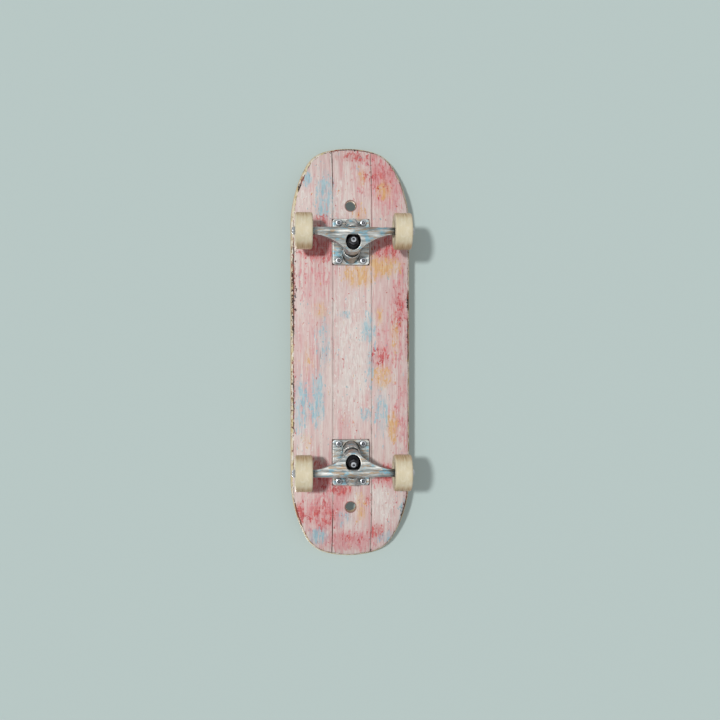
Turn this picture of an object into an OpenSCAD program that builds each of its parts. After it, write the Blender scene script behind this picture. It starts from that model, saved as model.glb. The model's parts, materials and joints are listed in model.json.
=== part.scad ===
// Skateboard: a seven-ply kicktail deck on two kingpin trucks with four wheels.
// The board stands on its wheels. +Y runs to the nose, +Z up, +X across the deck,
// and the origin is on the floor under the middle of the deck.

/* [Deck] */
// Length of the deck seen from above
deck_length = 702; // [690:2:760]
// Width of the deck
deck_width = 203; // [190:1:216]
// Thickness of one maple ply
ply_t = 1.57; // [1.4:0.01:1.75]
// Thickness of the grip tape
grip_t = 0.8; // [0.5:0.1:1.2]
// How far the grip tape stops short of the deck's edge
grip_margin = 2.5; // [2:0.1:6]
// Radius that rounds the deck's edge, top and bottom
edge_r = 5; // [3:0.5:5.4]
// Width of the flat strip along the middle of the concave
concave_flat = 90; // [76:2:110]
// Radius of the concave on each side of the flat strip
concave_r = 200; // [160:10:320]
// Flat length left between a truck plate and the start of the kick
kick_gap = 4; // [1:1:12]
// Radius to which the nose and the tail curve up
kick_r = 225; // [200:5:300]
// Radius of the long taper at the side of each end
taper_r = 220; // [190:10:240]
// Sweep of that taper in degrees
taper_sweep = 29; // [26:0.2:30]
// Radius of the rounder shoulder of each end
shoulder_r = 55; // [45:1:60]
// Direction in which the shoulder runs into the tip arc, in degrees
shoulder_end = 72; // [70:0.2:75]
// Offset of the left seam of the bottom face from the middle
seam_left_x = 30; // [24:1:38]
// Offset of the right seam of the bottom face from the middle
seam_right_x = 36; // [24:1:38]
// Width of a seam between two strips
seam_w = 0.3; // [0.2:0.1:0.6]

/* [Hanging holes] */
// Diameter of the two through holes
hole_d = 18; // [12:0.5:20]
// Distance of the nose hole from the middle of the deck
nose_hole_y = 248; // [246:1:275]
// Distance of the tail hole from the middle of the deck
tail_hole_y = 263; // [246:1:275]

/* [Truck mounting] */
// Distance of each axle from the middle of the deck
axle_y = 200; // [190:1:205]
// Height of the deck's underside above the axle
truck_height = 54; // [53:0.5:58]
// Width of a baseplate
plate_w = 62; // [56:1:70]
// Length of a baseplate
plate_l = 77; // [76:1:84]
// Thickness of a baseplate's flange
plate_t = 6; // [4:0.5:7]
// Radius of a baseplate's corners
plate_corner_r = 5; // [2:0.5:8]
// Distance from the axle to the middle of its baseplate, towards the middle of the deck
plate_inset = 13.5; // [11:0.5:14]
// Spacing of the mounting bolts across the deck
bolt_spacing_x = 41.3; // [40:0.1:44]
// Spacing of the mounting bolts along the deck
bolt_spacing_y = 63.5; // [62:0.1:65]
// Diameter of a mounting bolt
bolt_d = 4.8; // [4:0.1:5]
// Diameter of a mounting bolt's countersunk head
bolt_head_d = 9.5; // [8.5:0.1:10.5]
// Height of the countersunk head
bolt_head_h = 2.6; // [2:0.1:3]
// Clearance of a bolt in its hole, on the radius
bolt_play = 0.35; // [0.1:0.05:0.6]
// Size across flats of a mounting nut
bolt_nut_af = 9.5; // [8.5:0.1:10]
// Height of a mounting nut
bolt_nut_h = 5; // [4:0.1:6]
// Length of bolt that shows past its nut
bolt_tail = 1.6; // [0.5:0.1:4]

/* [Kingpin and bushings] */
// Lean of the kingpin from the vertical, in degrees
kingpin_lean = 20; // [17:0.5:22]
// Distance of the hanger's ring from the axle, towards the middle of the deck
ring_inset = 22; // [21:0.5:23]
// Height of the hanger's ring above the axle
ring_rise = 11.5; // [10.5:0.5:13]
// Diameter of the kingpin
kingpin_d = 9.5; // [8:0.1:10]
// Size across flats of the kingpin's head and nut
kingpin_af = 14.3; // [13:0.1:14.6]
// Height of the kingpin's head
kingpin_head_h = 6.3; // [5:0.1:7]
// Height of the kingpin's nut
kingpin_nut_h = 9; // [7:0.1:10]
// Length of kingpin that shows past its nut
kingpin_tail = 1.4; // [0.5:0.1:3]
// Depth of the gap between the kingpin's head and the deck
kingpin_head_gap = 2.4; // [1:0.1:3]
// Diameter of both bushings where they sit on the ring
bushing_d = 24; // [22:0.2:24.4]
// Height of the bushing on the deck's side
boardside_bushing_h = 16; // [14:0.5:17]
// Height of the cone bushing on the road's side
roadside_bushing_h = 8; // [7:0.5:9]
// Diameter of the cone bushing at its small end
roadside_bushing_tip_d = 18; // [17:0.2:20]
// Diameter of the washer on the deck's side
boardside_washer_d = 23; // [20:0.2:24]
// Diameter of the washer on the road's side
roadside_washer_d = 19; // [17:0.2:19.4]
// Thickness of a bushing washer
bushing_washer_t = 1.6; // [1:0.1:2]
// Diameter of the baseplate's kingpin boss
boss_d = 28; // [26:0.5:29]

/* [Hanger] */
// Width of the hanger between its wheels
hanger_w = 138; // [130:1:146]
// Diameter of the hanger at its ends
tube_end_d = 13; // [12:0.5:14]
// Diameter of the hanger's tube at its middle
tube_mid_d = 15; // [14:0.5:15.5]
// Diameter of the ring round the kingpin
ring_d = 31; // [30:0.5:34]
// Thickness of the web in the ring between the two bushings
ring_web_t = 6; // [5:0.5:7]
// Depth of a bushing's seat in the ring
seat_depth = 4; // [3:0.5:5]
// Diameter of the ring's hole round the kingpin
ring_hole_d = 13.6; // [13:0.2:15]
// Radius of the concave sweep from an end of the hanger to its ring
sweep_r = 95; // [85:5:110]
// Radius of the concave sweep over the hanger's shoulders
shoulder_sweep_r = 50; // [46:1:56]
// Slope of the pivot axis from the horizontal, in degrees
pivot_rise = 28; // [26:1:30]
// Distance from the ring's centre to the tip of the pivot
pivot_reach = 41; // [40:0.5:43]
// Diameter of the pivot
pivot_d = 12; // [11:0.2:13]
// Wall of the urethane pivot cup
cup_wall = 1.5; // [1:0.1:2]
// Running clearance of the pivot in its cup, on the radius
pivot_play = 0.1; // [0.05:0.01:0.3]
// Depth of pivot held in its cup
cup_depth = 9; // [7:0.5:10]
// Diameter of the baseplate's pivot housing
housing_d = 20; // [19:0.5:22]
// Lean of the board to each side, in degrees
lean_limit = 12; // [8:1:12]

/* [Axle and bearings] */
// Diameter of the axle
axle_d = 7.94; // [7.9:0.01:7.98]
// Length of axle that shows past each nut
axle_tail = 0.6; // [0.3:0.1:2]
// Size across flats of an axle nut
axle_nut_af = 12.7; // [12:0.1:13]
// Height of an axle nut
axle_nut_h = 6; // [5:0.1:7]
// Thickness of a speed washer
speed_washer_t = 1; // [0.6:0.1:1.4]
// Diameter of a speed washer
speed_washer_d = 11.4; // [10:0.1:11.5]
// Outer diameter of a bearing
bearing_d = 22; // [22:0.5:24]
// Bore of a bearing
bearing_bore = 8; // [8:0.01:8.04]
// Width of a bearing
bearing_w = 7; // [6.8:0.1:8]
// Number of balls in a bearing
ball_count = 7; // [6:1:7]
// Diameter of a ball
ball_d = 3.969; // [3.5:0.001:4]
// Length of the spacer between a wheel's two bearings
spacer_l = 10; // [8:0.5:12]
// Outer diameter of that spacer
spacer_d = 10.8; // [10:0.1:12]

/* [Wheel] */
// Diameter of a wheel
wheel_d = 61; // [58:0.5:61.5]
// Width of a wheel
wheel_w = 29; // [28:0.5:32]
// Radius of a wheel's edges
wheel_edge_r = 3.2; // [2:0.2:6]
// Diameter of the dish in each face of a wheel
dish_d = 38; // [34:0.5:44]
// Diameter of the hub ring at the bottom of the dish
hub_d = 27; // [25:0.5:30]
// Bore between the two bearing seats of a wheel
wheel_bore_d = 18; // [16:0.5:19]

/* [Hidden] */
$fn = 96;

// Overshoot of a cut past the face it leaves
cut = 1;
// Longest step of the deck's outline along an arc, in degrees
arc_step = 4.5;
// Sweep of a kick's curve, which runs on past the deck's tip, in degrees
kick_sweep = 60;
// Small running gaps
seat_play = 0.3;
ring_play = 0.15;
shaft_play = 0.1;
groove_play = 0.06;
pocket_play = 1;
cup_floor_gap = 2;
arm_gap = 4;

// Deck levels and edges
ply_count = 7;
half_w = deck_width / 2;
half_l = deck_length / 2;
axle_z = wheel_d / 2;
deck_z = axle_z + truck_height;
deck_t = ply_count * ply_t;
flat_half = concave_flat / 2;
kick_y = axle_y - plate_inset + plate_l / 2 + kick_gap;

// Ends of the deck: taper, shoulder and tip arcs that run into each other without a corner
taper_x = half_w - taper_r;
shoulder_x = taper_x + (taper_r - shoulder_r) * cos(taper_sweep);
shoulder_y = (taper_r - shoulder_r) * sin(taper_sweep);
tip_r = shoulder_r + shoulder_x / cos(shoulder_end);
tip_y = shoulder_y - (tip_r - shoulder_r) * sin(shoulder_end);
end_l = tip_y + tip_r;
end_y = half_l - end_l;

// Truck frame: its own origin is on the floor under the axle, +Y towards the deck's end
ring_y = -ring_inset;
ring_z = axle_z + ring_rise;
plate_mid_y = -plate_inset;
bolt_r = bolt_d / 2;
bolt_hole_r = bolt_r + bolt_play;
socket_af = 3.2;
socket_depth = 1.8;

// Levels along the kingpin, measured from the middle of the ring towards the deck
web_top = ring_web_t / 2;
collar_top = web_top + seat_depth;
boss_face = web_top + boardside_bushing_h + bushing_washer_t;
kingpin_r = kingpin_d / 2;
kingpin_head_r = kingpin_af / 2 / cos(30);
deck_on_kingpin = (deck_z - ring_z) / cos(kingpin_lean);
head_top = deck_on_kingpin - kingpin_head_r * tan(kingpin_lean) - kingpin_head_gap;
head_seat = head_top - kingpin_head_h;
road_washer_z = -web_top - roadside_bushing_h;
kingpin_nut_z = road_washer_z - bushing_washer_t;
kingpin_end = kingpin_nut_z - kingpin_nut_h - kingpin_tail;
seat_r = bushing_d / 2 + seat_play;
head_pocket_r = kingpin_head_r + pocket_play;

// The axle's place in the kingpin's frame
axle_from_ring_y = ring_inset * cos(kingpin_lean) - ring_rise * sin(kingpin_lean);
axle_from_ring_z = -ring_inset * sin(kingpin_lean) - ring_rise * cos(kingpin_lean);

// Levels along the pivot axis, measured from the middle of the ring
cup_mouth = pivot_reach - cup_depth;
cup_end = pivot_reach + cup_floor_gap;
cup_inner_r = pivot_d / 2 + pivot_play;
cup_outer_r = cup_inner_r + cup_wall;
housing_floor_t = 2.5;
housing_end = cup_end + cup_wall + housing_floor_t;
arm_root = 20;
arm_root_d = 17;
arm_end = cup_mouth - arm_gap;
arm_tip_r = pivot_d / 2 + 0.5;

// Forms of the hanger: its narrow edge beside the axle, its swell over the arm and its straight ends
hanger_edge_y = tube_end_d / 2 - 1.5;
hanger_swell_y = tube_mid_d / 2 + 1.5;
hanger_straight_l = 3;

// Stations along the axle, measured from its middle
hanger_end_x = hanger_w / 2;
bearing_in_x = hanger_end_x + speed_washer_t;
spacer_x = bearing_in_x + bearing_w;
bearing_out_x = spacer_x + spacer_l;
washer_out_x = bearing_out_x + bearing_w;
nut_x = washer_out_x + speed_washer_t;
axle_end_x = nut_x + axle_nut_h + axle_tail;
wheel_x = (bearing_in_x + washer_out_x) / 2;
axle_r = axle_d / 2;

// Bearing sections
bearing_r = bearing_d / 2;
pitch_r = (bearing_d + bearing_bore) / 4;
ball_r = ball_d / 2;
groove_r = ball_r + groove_play;
race_share = 0.7;
inner_ring_r = pitch_r - ball_r * race_share;
outer_ring_r = pitch_r + ball_r * race_share;
shield_t = 0.35;
cage_t = 0.5;
cage_w = 4.8;

// ---------- Helpers ----------

// Everything inside is drawn at the front truck or, turned round, at the rear truck
module at_truck(end) {
    rotate([0, 0, end > 0 ? 0 : 180]) translate([0, axle_y, 0]) children();
}

// Frame along the kingpin: origin in the middle of the ring, +Z towards the deck
module along_kingpin() {
    translate([0, ring_y, ring_z]) rotate([kingpin_lean, 0, 0]) children();
}

// Frame along the pivot axis: origin in the middle of the ring, +Z towards the pivot cup
module along_pivot() {
    translate([0, ring_y, ring_z]) rotate([pivot_rise - 90, 0, 0]) children();
}

// Frame along the axle: +Z towards the wheel on that side
module along_axle(side) {
    translate([0, 0, axle_z]) rotate([0, 90 * side, 0]) children();
}

// The four mounting bolts of one truck
module at_bolts() {
    for (sx = [-1, 1], sy = [-1, 1])
        translate([sx * bolt_spacing_x / 2, plate_mid_y + sy * bolt_spacing_y / 2, 0]) children();
}

module hexagon(across_flats, height) {
    cylinder(h = height, r = across_flats / 2 / cos(30), $fn = 6);
}

module tube(outer_r, inner_r, height) {
    difference() {
        cylinder(h = height, r = outer_r);
        translate([0, 0, -cut]) cylinder(h = height + 2 * cut, r = inner_r);
    }
}

// ---------- Deck ----------

// Section of a sheet whose lower face lies `low` above the deck's underside
module sheet_section(low, thick) {
    translate([-flat_half, low]) square([concave_flat, thick]);
    for (side = [0, 1]) mirror([side, 0]) translate([flat_half, concave_r]) intersection() {
        difference() {
            circle(concave_r - low);
            circle(concave_r - low - thick);
        }
        translate([0, -concave_r - cut]) square([half_w - flat_half + cut, concave_r + cut]);
    }
}

// The sheet curved up at one end of the deck, on past the tip
module kicked_end(low, thick) {
    translate([0, kick_y, deck_z + kick_r]) rotate([0, 90, 0])
        rotate_extrude(angle = kick_sweep) translate([kick_r, 0]) rotate(90) sheet_section(low, thick);
}

module pressed_sheet(low, thick) {
    translate([0, kick_y, deck_z]) rotate([90, 0, 0])
        linear_extrude(2 * kick_y) sheet_section(low, thick);
    for (turn = [0, 180]) rotate([0, 0, turn]) kicked_end(low, thick);
}

// Points along an arc, without its first one
function arc(centre, r, from, to) =
    let (steps = ceil(abs(to - from) / arc_step))
    [for (i = [1 : steps]) let (a = from + (to - from) * i / steps) centre + r * [cos(a), sin(a)]];

// One end of the deck's outline: taper, shoulder, tip, shoulder, taper
function end_points(inset) = concat(
    [[half_w - inset, 0]],
    arc([taper_x, 0], taper_r - inset, 0, taper_sweep),
    arc([shoulder_x, shoulder_y], shoulder_r - inset, taper_sweep, shoulder_end),
    arc([0, tip_y], tip_r - inset, shoulder_end, 180 - shoulder_end),
    arc([-shoulder_x, shoulder_y], shoulder_r - inset, 180 - shoulder_end, 180 - taper_sweep),
    arc([-taper_x, 0], taper_r - inset, 180 - taper_sweep, 180));

module deck_outline(inset) {
    nose = [for (p = end_points(inset)) p + [0, end_y]];
    polygon(concat(nose, -nose));
}

// How far the rounded edge draws a ply in at a height above the deck's underside
function edge_inset(level) =
    let (rest = edge_r - min(level, deck_t - level))
    rest > 0 ? edge_r - sqrt(edge_r * edge_r - rest * rest) : 0;

// A through hole square to the kick that it is drilled in
module kick_hole(y) {
    translate([0, kick_y, deck_z + kick_r]) rotate([asin((y - kick_y) / kick_r), 0, 0])
        translate([0, 0, -kick_r - deck_t]) cylinder(h = 3 * deck_t, r = hole_d / 2);
}

module bolt_head_cone(play) {
    translate([0, 0, deck_z + deck_t + grip_t - bolt_head_h])
        cylinder(h = bolt_head_h, r1 = bolt_r + play, r2 = bolt_head_d / 2 + play);
}

module deck_holes() {
    kick_hole(nose_hole_y);
    rotate([0, 0, 180]) kick_hole(tail_hole_y);
    for (end = [-1, 1]) at_truck(end) at_bolts() {
        translate([0, 0, deck_z - cut]) cylinder(h = deck_t + grip_t + 2 * cut, r = bolt_hole_r);
        bolt_head_cone(bolt_play);
    }
}

module ply(number) {
    low = (number - 1) * ply_t;
    difference() {
        intersection() {
            pressed_sheet(low, ply_t);
            translate([0, 0, axle_z]) linear_extrude(half_l) deck_outline(edge_inset(low + ply_t / 2));
        }
        deck_holes();
    }
}

// One strip of the bottom ply, between two offsets from the middle
module bottom_strip(from_x, to_x) {
    color([0.85, 0.71, 0.71]) intersection() {
        ply(1);
        translate([from_x, -half_l, axle_z]) cube([to_x - from_x, deck_length, half_l]);
    }
}

module bottom_strip_left() bottom_strip(seam_left_x + seam_w / 2, half_w);
module bottom_strip_centre() bottom_strip(-seam_right_x + seam_w / 2, seam_left_x - seam_w / 2);
module bottom_strip_right() bottom_strip(-half_w, -seam_right_x - seam_w / 2);
module inner_ply(number) color([0.86, 0.74, 0.55]) ply(number);
module top_ply() color([0.83, 0.69, 0.49]) ply(ply_count);

module grip_tape() {
    color([0.12, 0.12, 0.13]) difference() {
        intersection() {
            pressed_sheet(deck_t, grip_t);
            translate([0, 0, axle_z]) linear_extrude(half_l) deck_outline(grip_margin + edge_inset(deck_t));
        }
        deck_holes();
    }
}

// ---------- Truck mounting ----------

module truck_bolts(end) {
    nut_z = deck_z - plate_t - bolt_nut_h;
    end_z = nut_z - bolt_tail;
    top_z = deck_z + deck_t + grip_t;
    color([0.35, 0.35, 0.37]) at_truck(end) at_bolts() difference() {
        union() {
            translate([0, 0, end_z]) cylinder(h = top_z - bolt_head_h - end_z, r = bolt_r);
            bolt_head_cone(0);
        }
        translate([0, 0, top_z - socket_depth]) hexagon(socket_af, socket_depth + cut);
    }
}

module truck_nuts(end) {
    color([0.62, 0.63, 0.65]) at_truck(end) at_bolts()
        translate([0, 0, deck_z - plate_t - bolt_nut_h]) difference() {
            hexagon(bolt_nut_af, bolt_nut_h);
            translate([0, 0, -cut]) cylinder(h = bolt_nut_h + 2 * cut, r = bolt_r);
        }
}

module plate_outline() {
    reach_x = plate_w / 2 - plate_corner_r;
    reach_y = plate_l / 2 - plate_corner_r;
    translate([-plate_w / 2, plate_mid_y - reach_y]) square([plate_w, 2 * reach_y]);
    translate([-reach_x, plate_mid_y - plate_l / 2]) square([2 * reach_x, plate_l]);
    for (sx = [-1, 1], sy = [-1, 1])
        translate([sx * reach_x, plate_mid_y + sy * reach_y]) circle(plate_corner_r);
}

module baseplate(end) {
    boss_r = boss_d / 2;
    housing_r = housing_d / 2;
    housing_mid = (cup_mouth + housing_end) / 2;
    pedestal_y = ring_y + housing_mid * cos(pivot_rise);
    pedestal_z = ring_z + housing_mid * sin(pivot_rise);
    color([0.66, 0.69, 0.71]) at_truck(end) difference() {
        union() {
            translate([0, 0, deck_z - plate_t]) linear_extrude(plate_t) plate_outline();
            // kingpin boss and pivot housing, cut off flush with the plate's ends and its top
            intersection() {
                union() {
                    along_kingpin() translate([0, 0, boss_face])
                        cylinder(h = deck_on_kingpin, r = boss_r);
                    along_pivot() translate([0, 0, cup_mouth])
                        cylinder(h = housing_end - cup_mouth, r = housing_r);
                    translate([-housing_r, pedestal_y - housing_r / 2, pedestal_z])
                        cube([2 * housing_r, housing_r, deck_z - pedestal_z]);
                }
                translate([0, 0, axle_z]) linear_extrude(truck_height) plate_outline();
            }
        }
        at_bolts() translate([0, 0, deck_z - plate_t - cut])
            cylinder(h = plate_t + 2 * cut, r = bolt_hole_r);
        along_kingpin() {
            translate([0, 0, boss_face - cut]) cylinder(h = deck_on_kingpin, r = kingpin_r + shaft_play);
            translate([0, 0, head_seat]) cylinder(h = deck_on_kingpin, r = head_pocket_r);
        }
        along_pivot() translate([0, 0, cup_mouth - cut])
            cylinder(h = cup_end + cup_wall - cup_mouth + cut, r = cup_outer_r);
    }
}

module pivot_cup(end) {
    color([0.16, 0.16, 0.17]) at_truck(end) along_pivot() translate([0, 0, cup_mouth]) difference() {
        cylinder(h = cup_end + cup_wall - cup_mouth, r = cup_outer_r);
        translate([0, 0, -cut]) cylinder(h = cup_end - cup_mouth + cut, r = cup_inner_r);
    }
}

// ---------- Kingpin and bushings ----------

module kingpin(end) {
    color([0.45, 0.46, 0.48]) at_truck(end) along_kingpin() {
        translate([0, 0, kingpin_end]) cylinder(h = head_seat - kingpin_end, r = kingpin_r);
        translate([0, 0, head_seat]) hexagon(kingpin_af, kingpin_head_h);
    }
}

module kingpin_nut(end) {
    color([0.70, 0.71, 0.72]) at_truck(end) along_kingpin()
        translate([0, 0, kingpin_nut_z - kingpin_nut_h]) difference() {
            hexagon(kingpin_af, kingpin_nut_h);
            translate([0, 0, -cut]) cylinder(h = kingpin_nut_h + 2 * cut, r = kingpin_r);
        }
}

module boardside_washer(end) {
    color([0.60, 0.61, 0.62]) at_truck(end) along_kingpin()
        translate([0, 0, boss_face - bushing_washer_t])
            tube(boardside_washer_d / 2, kingpin_r + shaft_play, bushing_washer_t);
}

module roadside_washer(end) {
    color([0.60, 0.61, 0.62]) at_truck(end) along_kingpin()
        translate([0, 0, kingpin_nut_z])
            tube(roadside_washer_d / 2, kingpin_r + shaft_play, bushing_washer_t);
}

module boardside_bushing(end) {
    color([0.14, 0.14, 0.15]) at_truck(end) along_kingpin()
        translate([0, 0, web_top]) tube(bushing_d / 2, kingpin_r + seat_play, boardside_bushing_h);
}

module roadside_bushing(end) {
    color([0.14, 0.14, 0.15]) at_truck(end) along_kingpin()
        translate([0, 0, -web_top - roadside_bushing_h]) difference() {
            cylinder(h = roadside_bushing_h, r1 = roadside_bushing_tip_d / 2, r2 = bushing_d / 2);
            translate([0, 0, -cut]) cylinder(h = roadside_bushing_h + 2 * cut, r = kingpin_r + seat_play);
        }
}

// ---------- Hanger ----------

// Seen from below: straight along the axle, sweeping in to the ring
module hanger_plan() {
    ring_r = ring_d / 2;
    rim_y = ring_y + collar_top * sin(kingpin_lean);
    sweep_y = -hanger_edge_y - sweep_r;
    sweep_x = sqrt(pow(sweep_r + ring_r, 2) - pow(rim_y - sweep_y, 2));
    touch_x = sweep_x * ring_r / (sweep_r + ring_r);
    touch_y = rim_y + (sweep_y - rim_y) * ring_r / (sweep_r + ring_r);
    outer_y = tube_end_d / 2;
    translate([0, rim_y]) circle(ring_r);
    difference() {
        polygon([[-hanger_end_x, outer_y], [hanger_end_x, outer_y], [hanger_end_x, -hanger_edge_y],
                 [touch_x, touch_y], [-touch_x, touch_y], [-hanger_end_x, -hanger_edge_y]]);
        for (side = [-1, 1]) translate([side * sweep_x, sweep_y]) circle(sweep_r);
    }
    // slight swell over the root of the pivot arm
    translate([-arm_root_d, 0]) square([2 * arm_root_d, hanger_swell_y]);
}

// Seen along the deck: thin ends under a tall middle
module hanger_front() {
    end_top = axle_z + tube_end_d / 2;
    foot = axle_z - tube_mid_d / 2;
    cut_x = hanger_end_x - hanger_straight_l;
    difference() {
        translate([-hanger_end_x, foot]) square([hanger_w, truck_height - plate_t]);
        for (side = [-1, 1]) {
            translate([side * cut_x, end_top + shoulder_sweep_r]) circle(shoulder_sweep_r);
            translate([side > 0 ? cut_x : -cut_x - hanger_end_x, end_top])
                square([hanger_end_x, truck_height]);
        }
    }
}

// Seen along the axle, in the kingpin's frame: ring, web, post and arm root
module hanger_side() {
    ring_r = ring_d / 2;
    tilt = pivot_rise - kingpin_lean;
    root_r = arm_root_d / 2;
    tube_r = tube_mid_d / 2;
    polygon([
        [-ring_r, -collar_top],
        [-ring_r, collar_top],
        [seat_r, collar_top],
        [arm_root * cos(tilt) - root_r * sin(tilt), arm_root * sin(tilt) + root_r * cos(tilt)],
        [arm_end * cos(tilt) - arm_tip_r * sin(tilt), arm_end * sin(tilt) + arm_tip_r * cos(tilt)],
        [arm_end * cos(tilt) + arm_tip_r * sin(tilt), arm_end * sin(tilt) - arm_tip_r * cos(tilt)],
        [axle_from_ring_y + tube_r, axle_from_ring_z],
        [axle_from_ring_y - tube_r, axle_from_ring_z - tube_r / 2],
    ]);
}

module hanger_body() {
    intersection() {
        along_kingpin() rotate([90, 0, 90]) translate([0, 0, -hanger_end_x])
            linear_extrude(hanger_w) hanger_side();
        translate([0, 0, axle_z - tube_mid_d]) linear_extrude(truck_height) hanger_plan();
        rotate([90, 0, 0]) translate([0, 0, -plate_l]) linear_extrude(2 * plate_l) hanger_front();
    }
    along_kingpin() translate([0, 0, -collar_top]) cylinder(h = 2 * collar_top, r = ring_d / 2);
    along_pivot() {
        translate([0, 0, arm_root]) cylinder(h = arm_end - arm_root, r1 = arm_root_d / 2, r2 = pivot_d / 2);
        translate([0, 0, arm_root]) cylinder(h = pivot_reach - arm_root, r = pivot_d / 2);
    }
}

module hanger(end) {
    color([0.66, 0.69, 0.71]) at_truck(end) difference() {
        union() {
            difference() {
                hanger_body();
                along_kingpin() {
                    translate([0, 0, web_top]) cylinder(h = boss_face, r = seat_r);
                    translate([0, 0, -web_top - ring_d]) cylinder(h = ring_d, r = seat_r);
                }
            }
            for (side = [-1, 1]) along_axle(side)
                cylinder(h = hanger_end_x, r1 = tube_mid_d / 2, r2 = tube_end_d / 2);
        }
        along_kingpin() translate([0, 0, -ring_web_t]) cylinder(h = 2 * ring_web_t, r = ring_hole_d / 2);
        along_axle(1) translate([0, 0, -hanger_w]) cylinder(h = 2 * hanger_w, r = axle_r);
    }
}

// ---------- Axle and bearings ----------

module axle(end) {
    color([0.62, 0.63, 0.65]) at_truck(end) along_axle(1)
        translate([0, 0, -axle_end_x]) cylinder(h = 2 * axle_end_x, r = axle_r);
}

module axle_nuts(end) {
    color([0.70, 0.71, 0.72]) at_truck(end) for (side = [-1, 1]) along_axle(side)
        translate([0, 0, nut_x]) difference() {
            hexagon(axle_nut_af, axle_nut_h);
            translate([0, 0, -cut]) cylinder(h = axle_nut_h + 2 * cut, r = axle_r);
        }
}

module speed_washers(end) {
    color([0.60, 0.61, 0.62]) at_truck(end) for (side = [-1, 1], x = [hanger_end_x, washer_out_x])
        along_axle(side) translate([0, 0, x]) tube(speed_washer_d / 2, bearing_bore / 2, speed_washer_t);
}

// The groove that the balls run in, as a ring to cut away
module ball_groove() {
    translate([0, 0, bearing_w / 2]) rotate_extrude() translate([pitch_r, 0]) circle(groove_r);
}

module inner_rings(end) {
    color([0.60, 0.61, 0.62]) at_truck(end) for (side = [-1, 1], x = [bearing_in_x, bearing_out_x])
        along_axle(side) translate([0, 0, x]) difference() {
            tube(inner_ring_r, bearing_bore / 2, bearing_w);
            ball_groove();
        }
}

module bearing_spacers(end) {
    color([0.74, 0.75, 0.76]) at_truck(end) for (side = [-1, 1])
        along_axle(side) translate([0, 0, spacer_x]) tube(spacer_d / 2, bearing_bore / 2, spacer_l);
}

// ---------- Wheels ----------

// Draws at both bearings of one wheel
module at_bearings(end, side) {
    at_truck(end) along_axle(side * end) for (x = [bearing_in_x, bearing_out_x])
        translate([0, 0, x]) children();
}

module wheel(end, side) {
    wheel_r = wheel_d / 2;
    half = wheel_w / 2;
    dish_depth = (wheel_w - 2 * bearing_w - spacer_l) / 2;
    round_x = wheel_r - wheel_edge_r;
    round_z = half - wheel_edge_r;
    color([0.88, 0.83, 0.72]) at_truck(end) along_axle(side * end) translate([0, 0, wheel_x]) difference() {
        rotate_extrude() {
            translate([0, -half]) square([round_x, wheel_w]);
            translate([0, -round_z]) square([wheel_r, 2 * round_z]);
            for (face = [-1, 1]) translate([round_x, face * round_z]) circle(wheel_edge_r);
        }
        translate([0, 0, -half - cut]) cylinder(h = wheel_w + 2 * cut, r = wheel_bore_d / 2);
        for (face = [0, 1]) mirror([0, 0, face]) {
            translate([0, 0, spacer_l / 2]) cylinder(h = half, r = bearing_r);
            translate([0, 0, half - dish_depth])
                cylinder(h = dish_depth, r1 = hub_d / 2, r2 = dish_d / 2);
        }
    }
}

module outer_rings(end, side) {
    color([0.60, 0.61, 0.62]) at_bearings(end, side) {
        difference() {
            tube(bearing_r, outer_ring_r, bearing_w);
            ball_groove();
        }
        for (z = [shield_t, bearing_w - 2 * shield_t])
            translate([0, 0, z]) tube(outer_ring_r, inner_ring_r + ring_play, shield_t);
    }
}

module balls(end, side) {
    color([0.78, 0.79, 0.80]) at_bearings(end, side) for (i = [0 : ball_count - 1])
        rotate([0, 0, i * 360 / ball_count]) translate([pitch_r, 0, bearing_w / 2]) sphere(ball_r);
}

module cages(end, side) {
    color([0.66, 0.66, 0.68]) at_bearings(end, side) translate([0, 0, (bearing_w - cage_w) / 2])
        difference() {
            tube(pitch_r + cage_t, pitch_r - cage_t, cage_w);
            for (i = [0 : ball_count - 1]) rotate([0, 0, i * 360 / ball_count])
                translate([pitch_r - 2 * cage_t, 0, cage_w / 2]) rotate([0, 90, 0])
                    cylinder(h = 4 * cage_t, r = ball_r + shaft_play);
        }
}

bottom_strip_left();
bottom_strip_centre();
bottom_strip_right();
inner_ply(2);  // ply_2
inner_ply(3);  // ply_3
inner_ply(4);  // ply_4
inner_ply(5);  // ply_5
inner_ply(6);  // ply_6
top_ply();
grip_tape();
truck_bolts(1);  // front_truck_bolts
truck_nuts(1);  // front_truck_nuts
truck_bolts(-1);  // rear_truck_bolts
truck_nuts(-1);  // rear_truck_nuts
baseplate(1);  // front_baseplate
pivot_cup(1);  // front_pivot_cup
kingpin(1);  // front_kingpin
kingpin_nut(1);  // front_kingpin_nut
boardside_washer(1);  // front_boardside_washer
boardside_bushing(1);  // front_boardside_bushing
roadside_bushing(1);  // front_roadside_bushing
roadside_washer(1);  // front_roadside_washer
hanger(1);  // front_hanger
axle(1);  // front_axle
axle_nuts(1);  // front_axle_nuts
speed_washers(1);  // front_speed_washers
inner_rings(1);  // front_bearing_inner_rings
bearing_spacers(1);  // front_bearing_spacers
baseplate(-1);  // rear_baseplate
pivot_cup(-1);  // rear_pivot_cup
kingpin(-1);  // rear_kingpin
kingpin_nut(-1);  // rear_kingpin_nut
boardside_washer(-1);  // rear_boardside_washer
boardside_bushing(-1);  // rear_boardside_bushing
roadside_bushing(-1);  // rear_roadside_bushing
roadside_washer(-1);  // rear_roadside_washer
hanger(-1);  // rear_hanger
axle(-1);  // rear_axle
axle_nuts(-1);  // rear_axle_nuts
speed_washers(-1);  // rear_speed_washers
inner_rings(-1);  // rear_bearing_inner_rings
bearing_spacers(-1);  // rear_bearing_spacers
wheel(1, -1);  // front_left_wheel
outer_rings(1, -1);  // front_left_outer_rings
balls(1, -1);  // front_left_balls
cages(1, -1);  // front_left_cages
wheel(1, 1);  // front_right_wheel
outer_rings(1, 1);  // front_right_outer_rings
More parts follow.
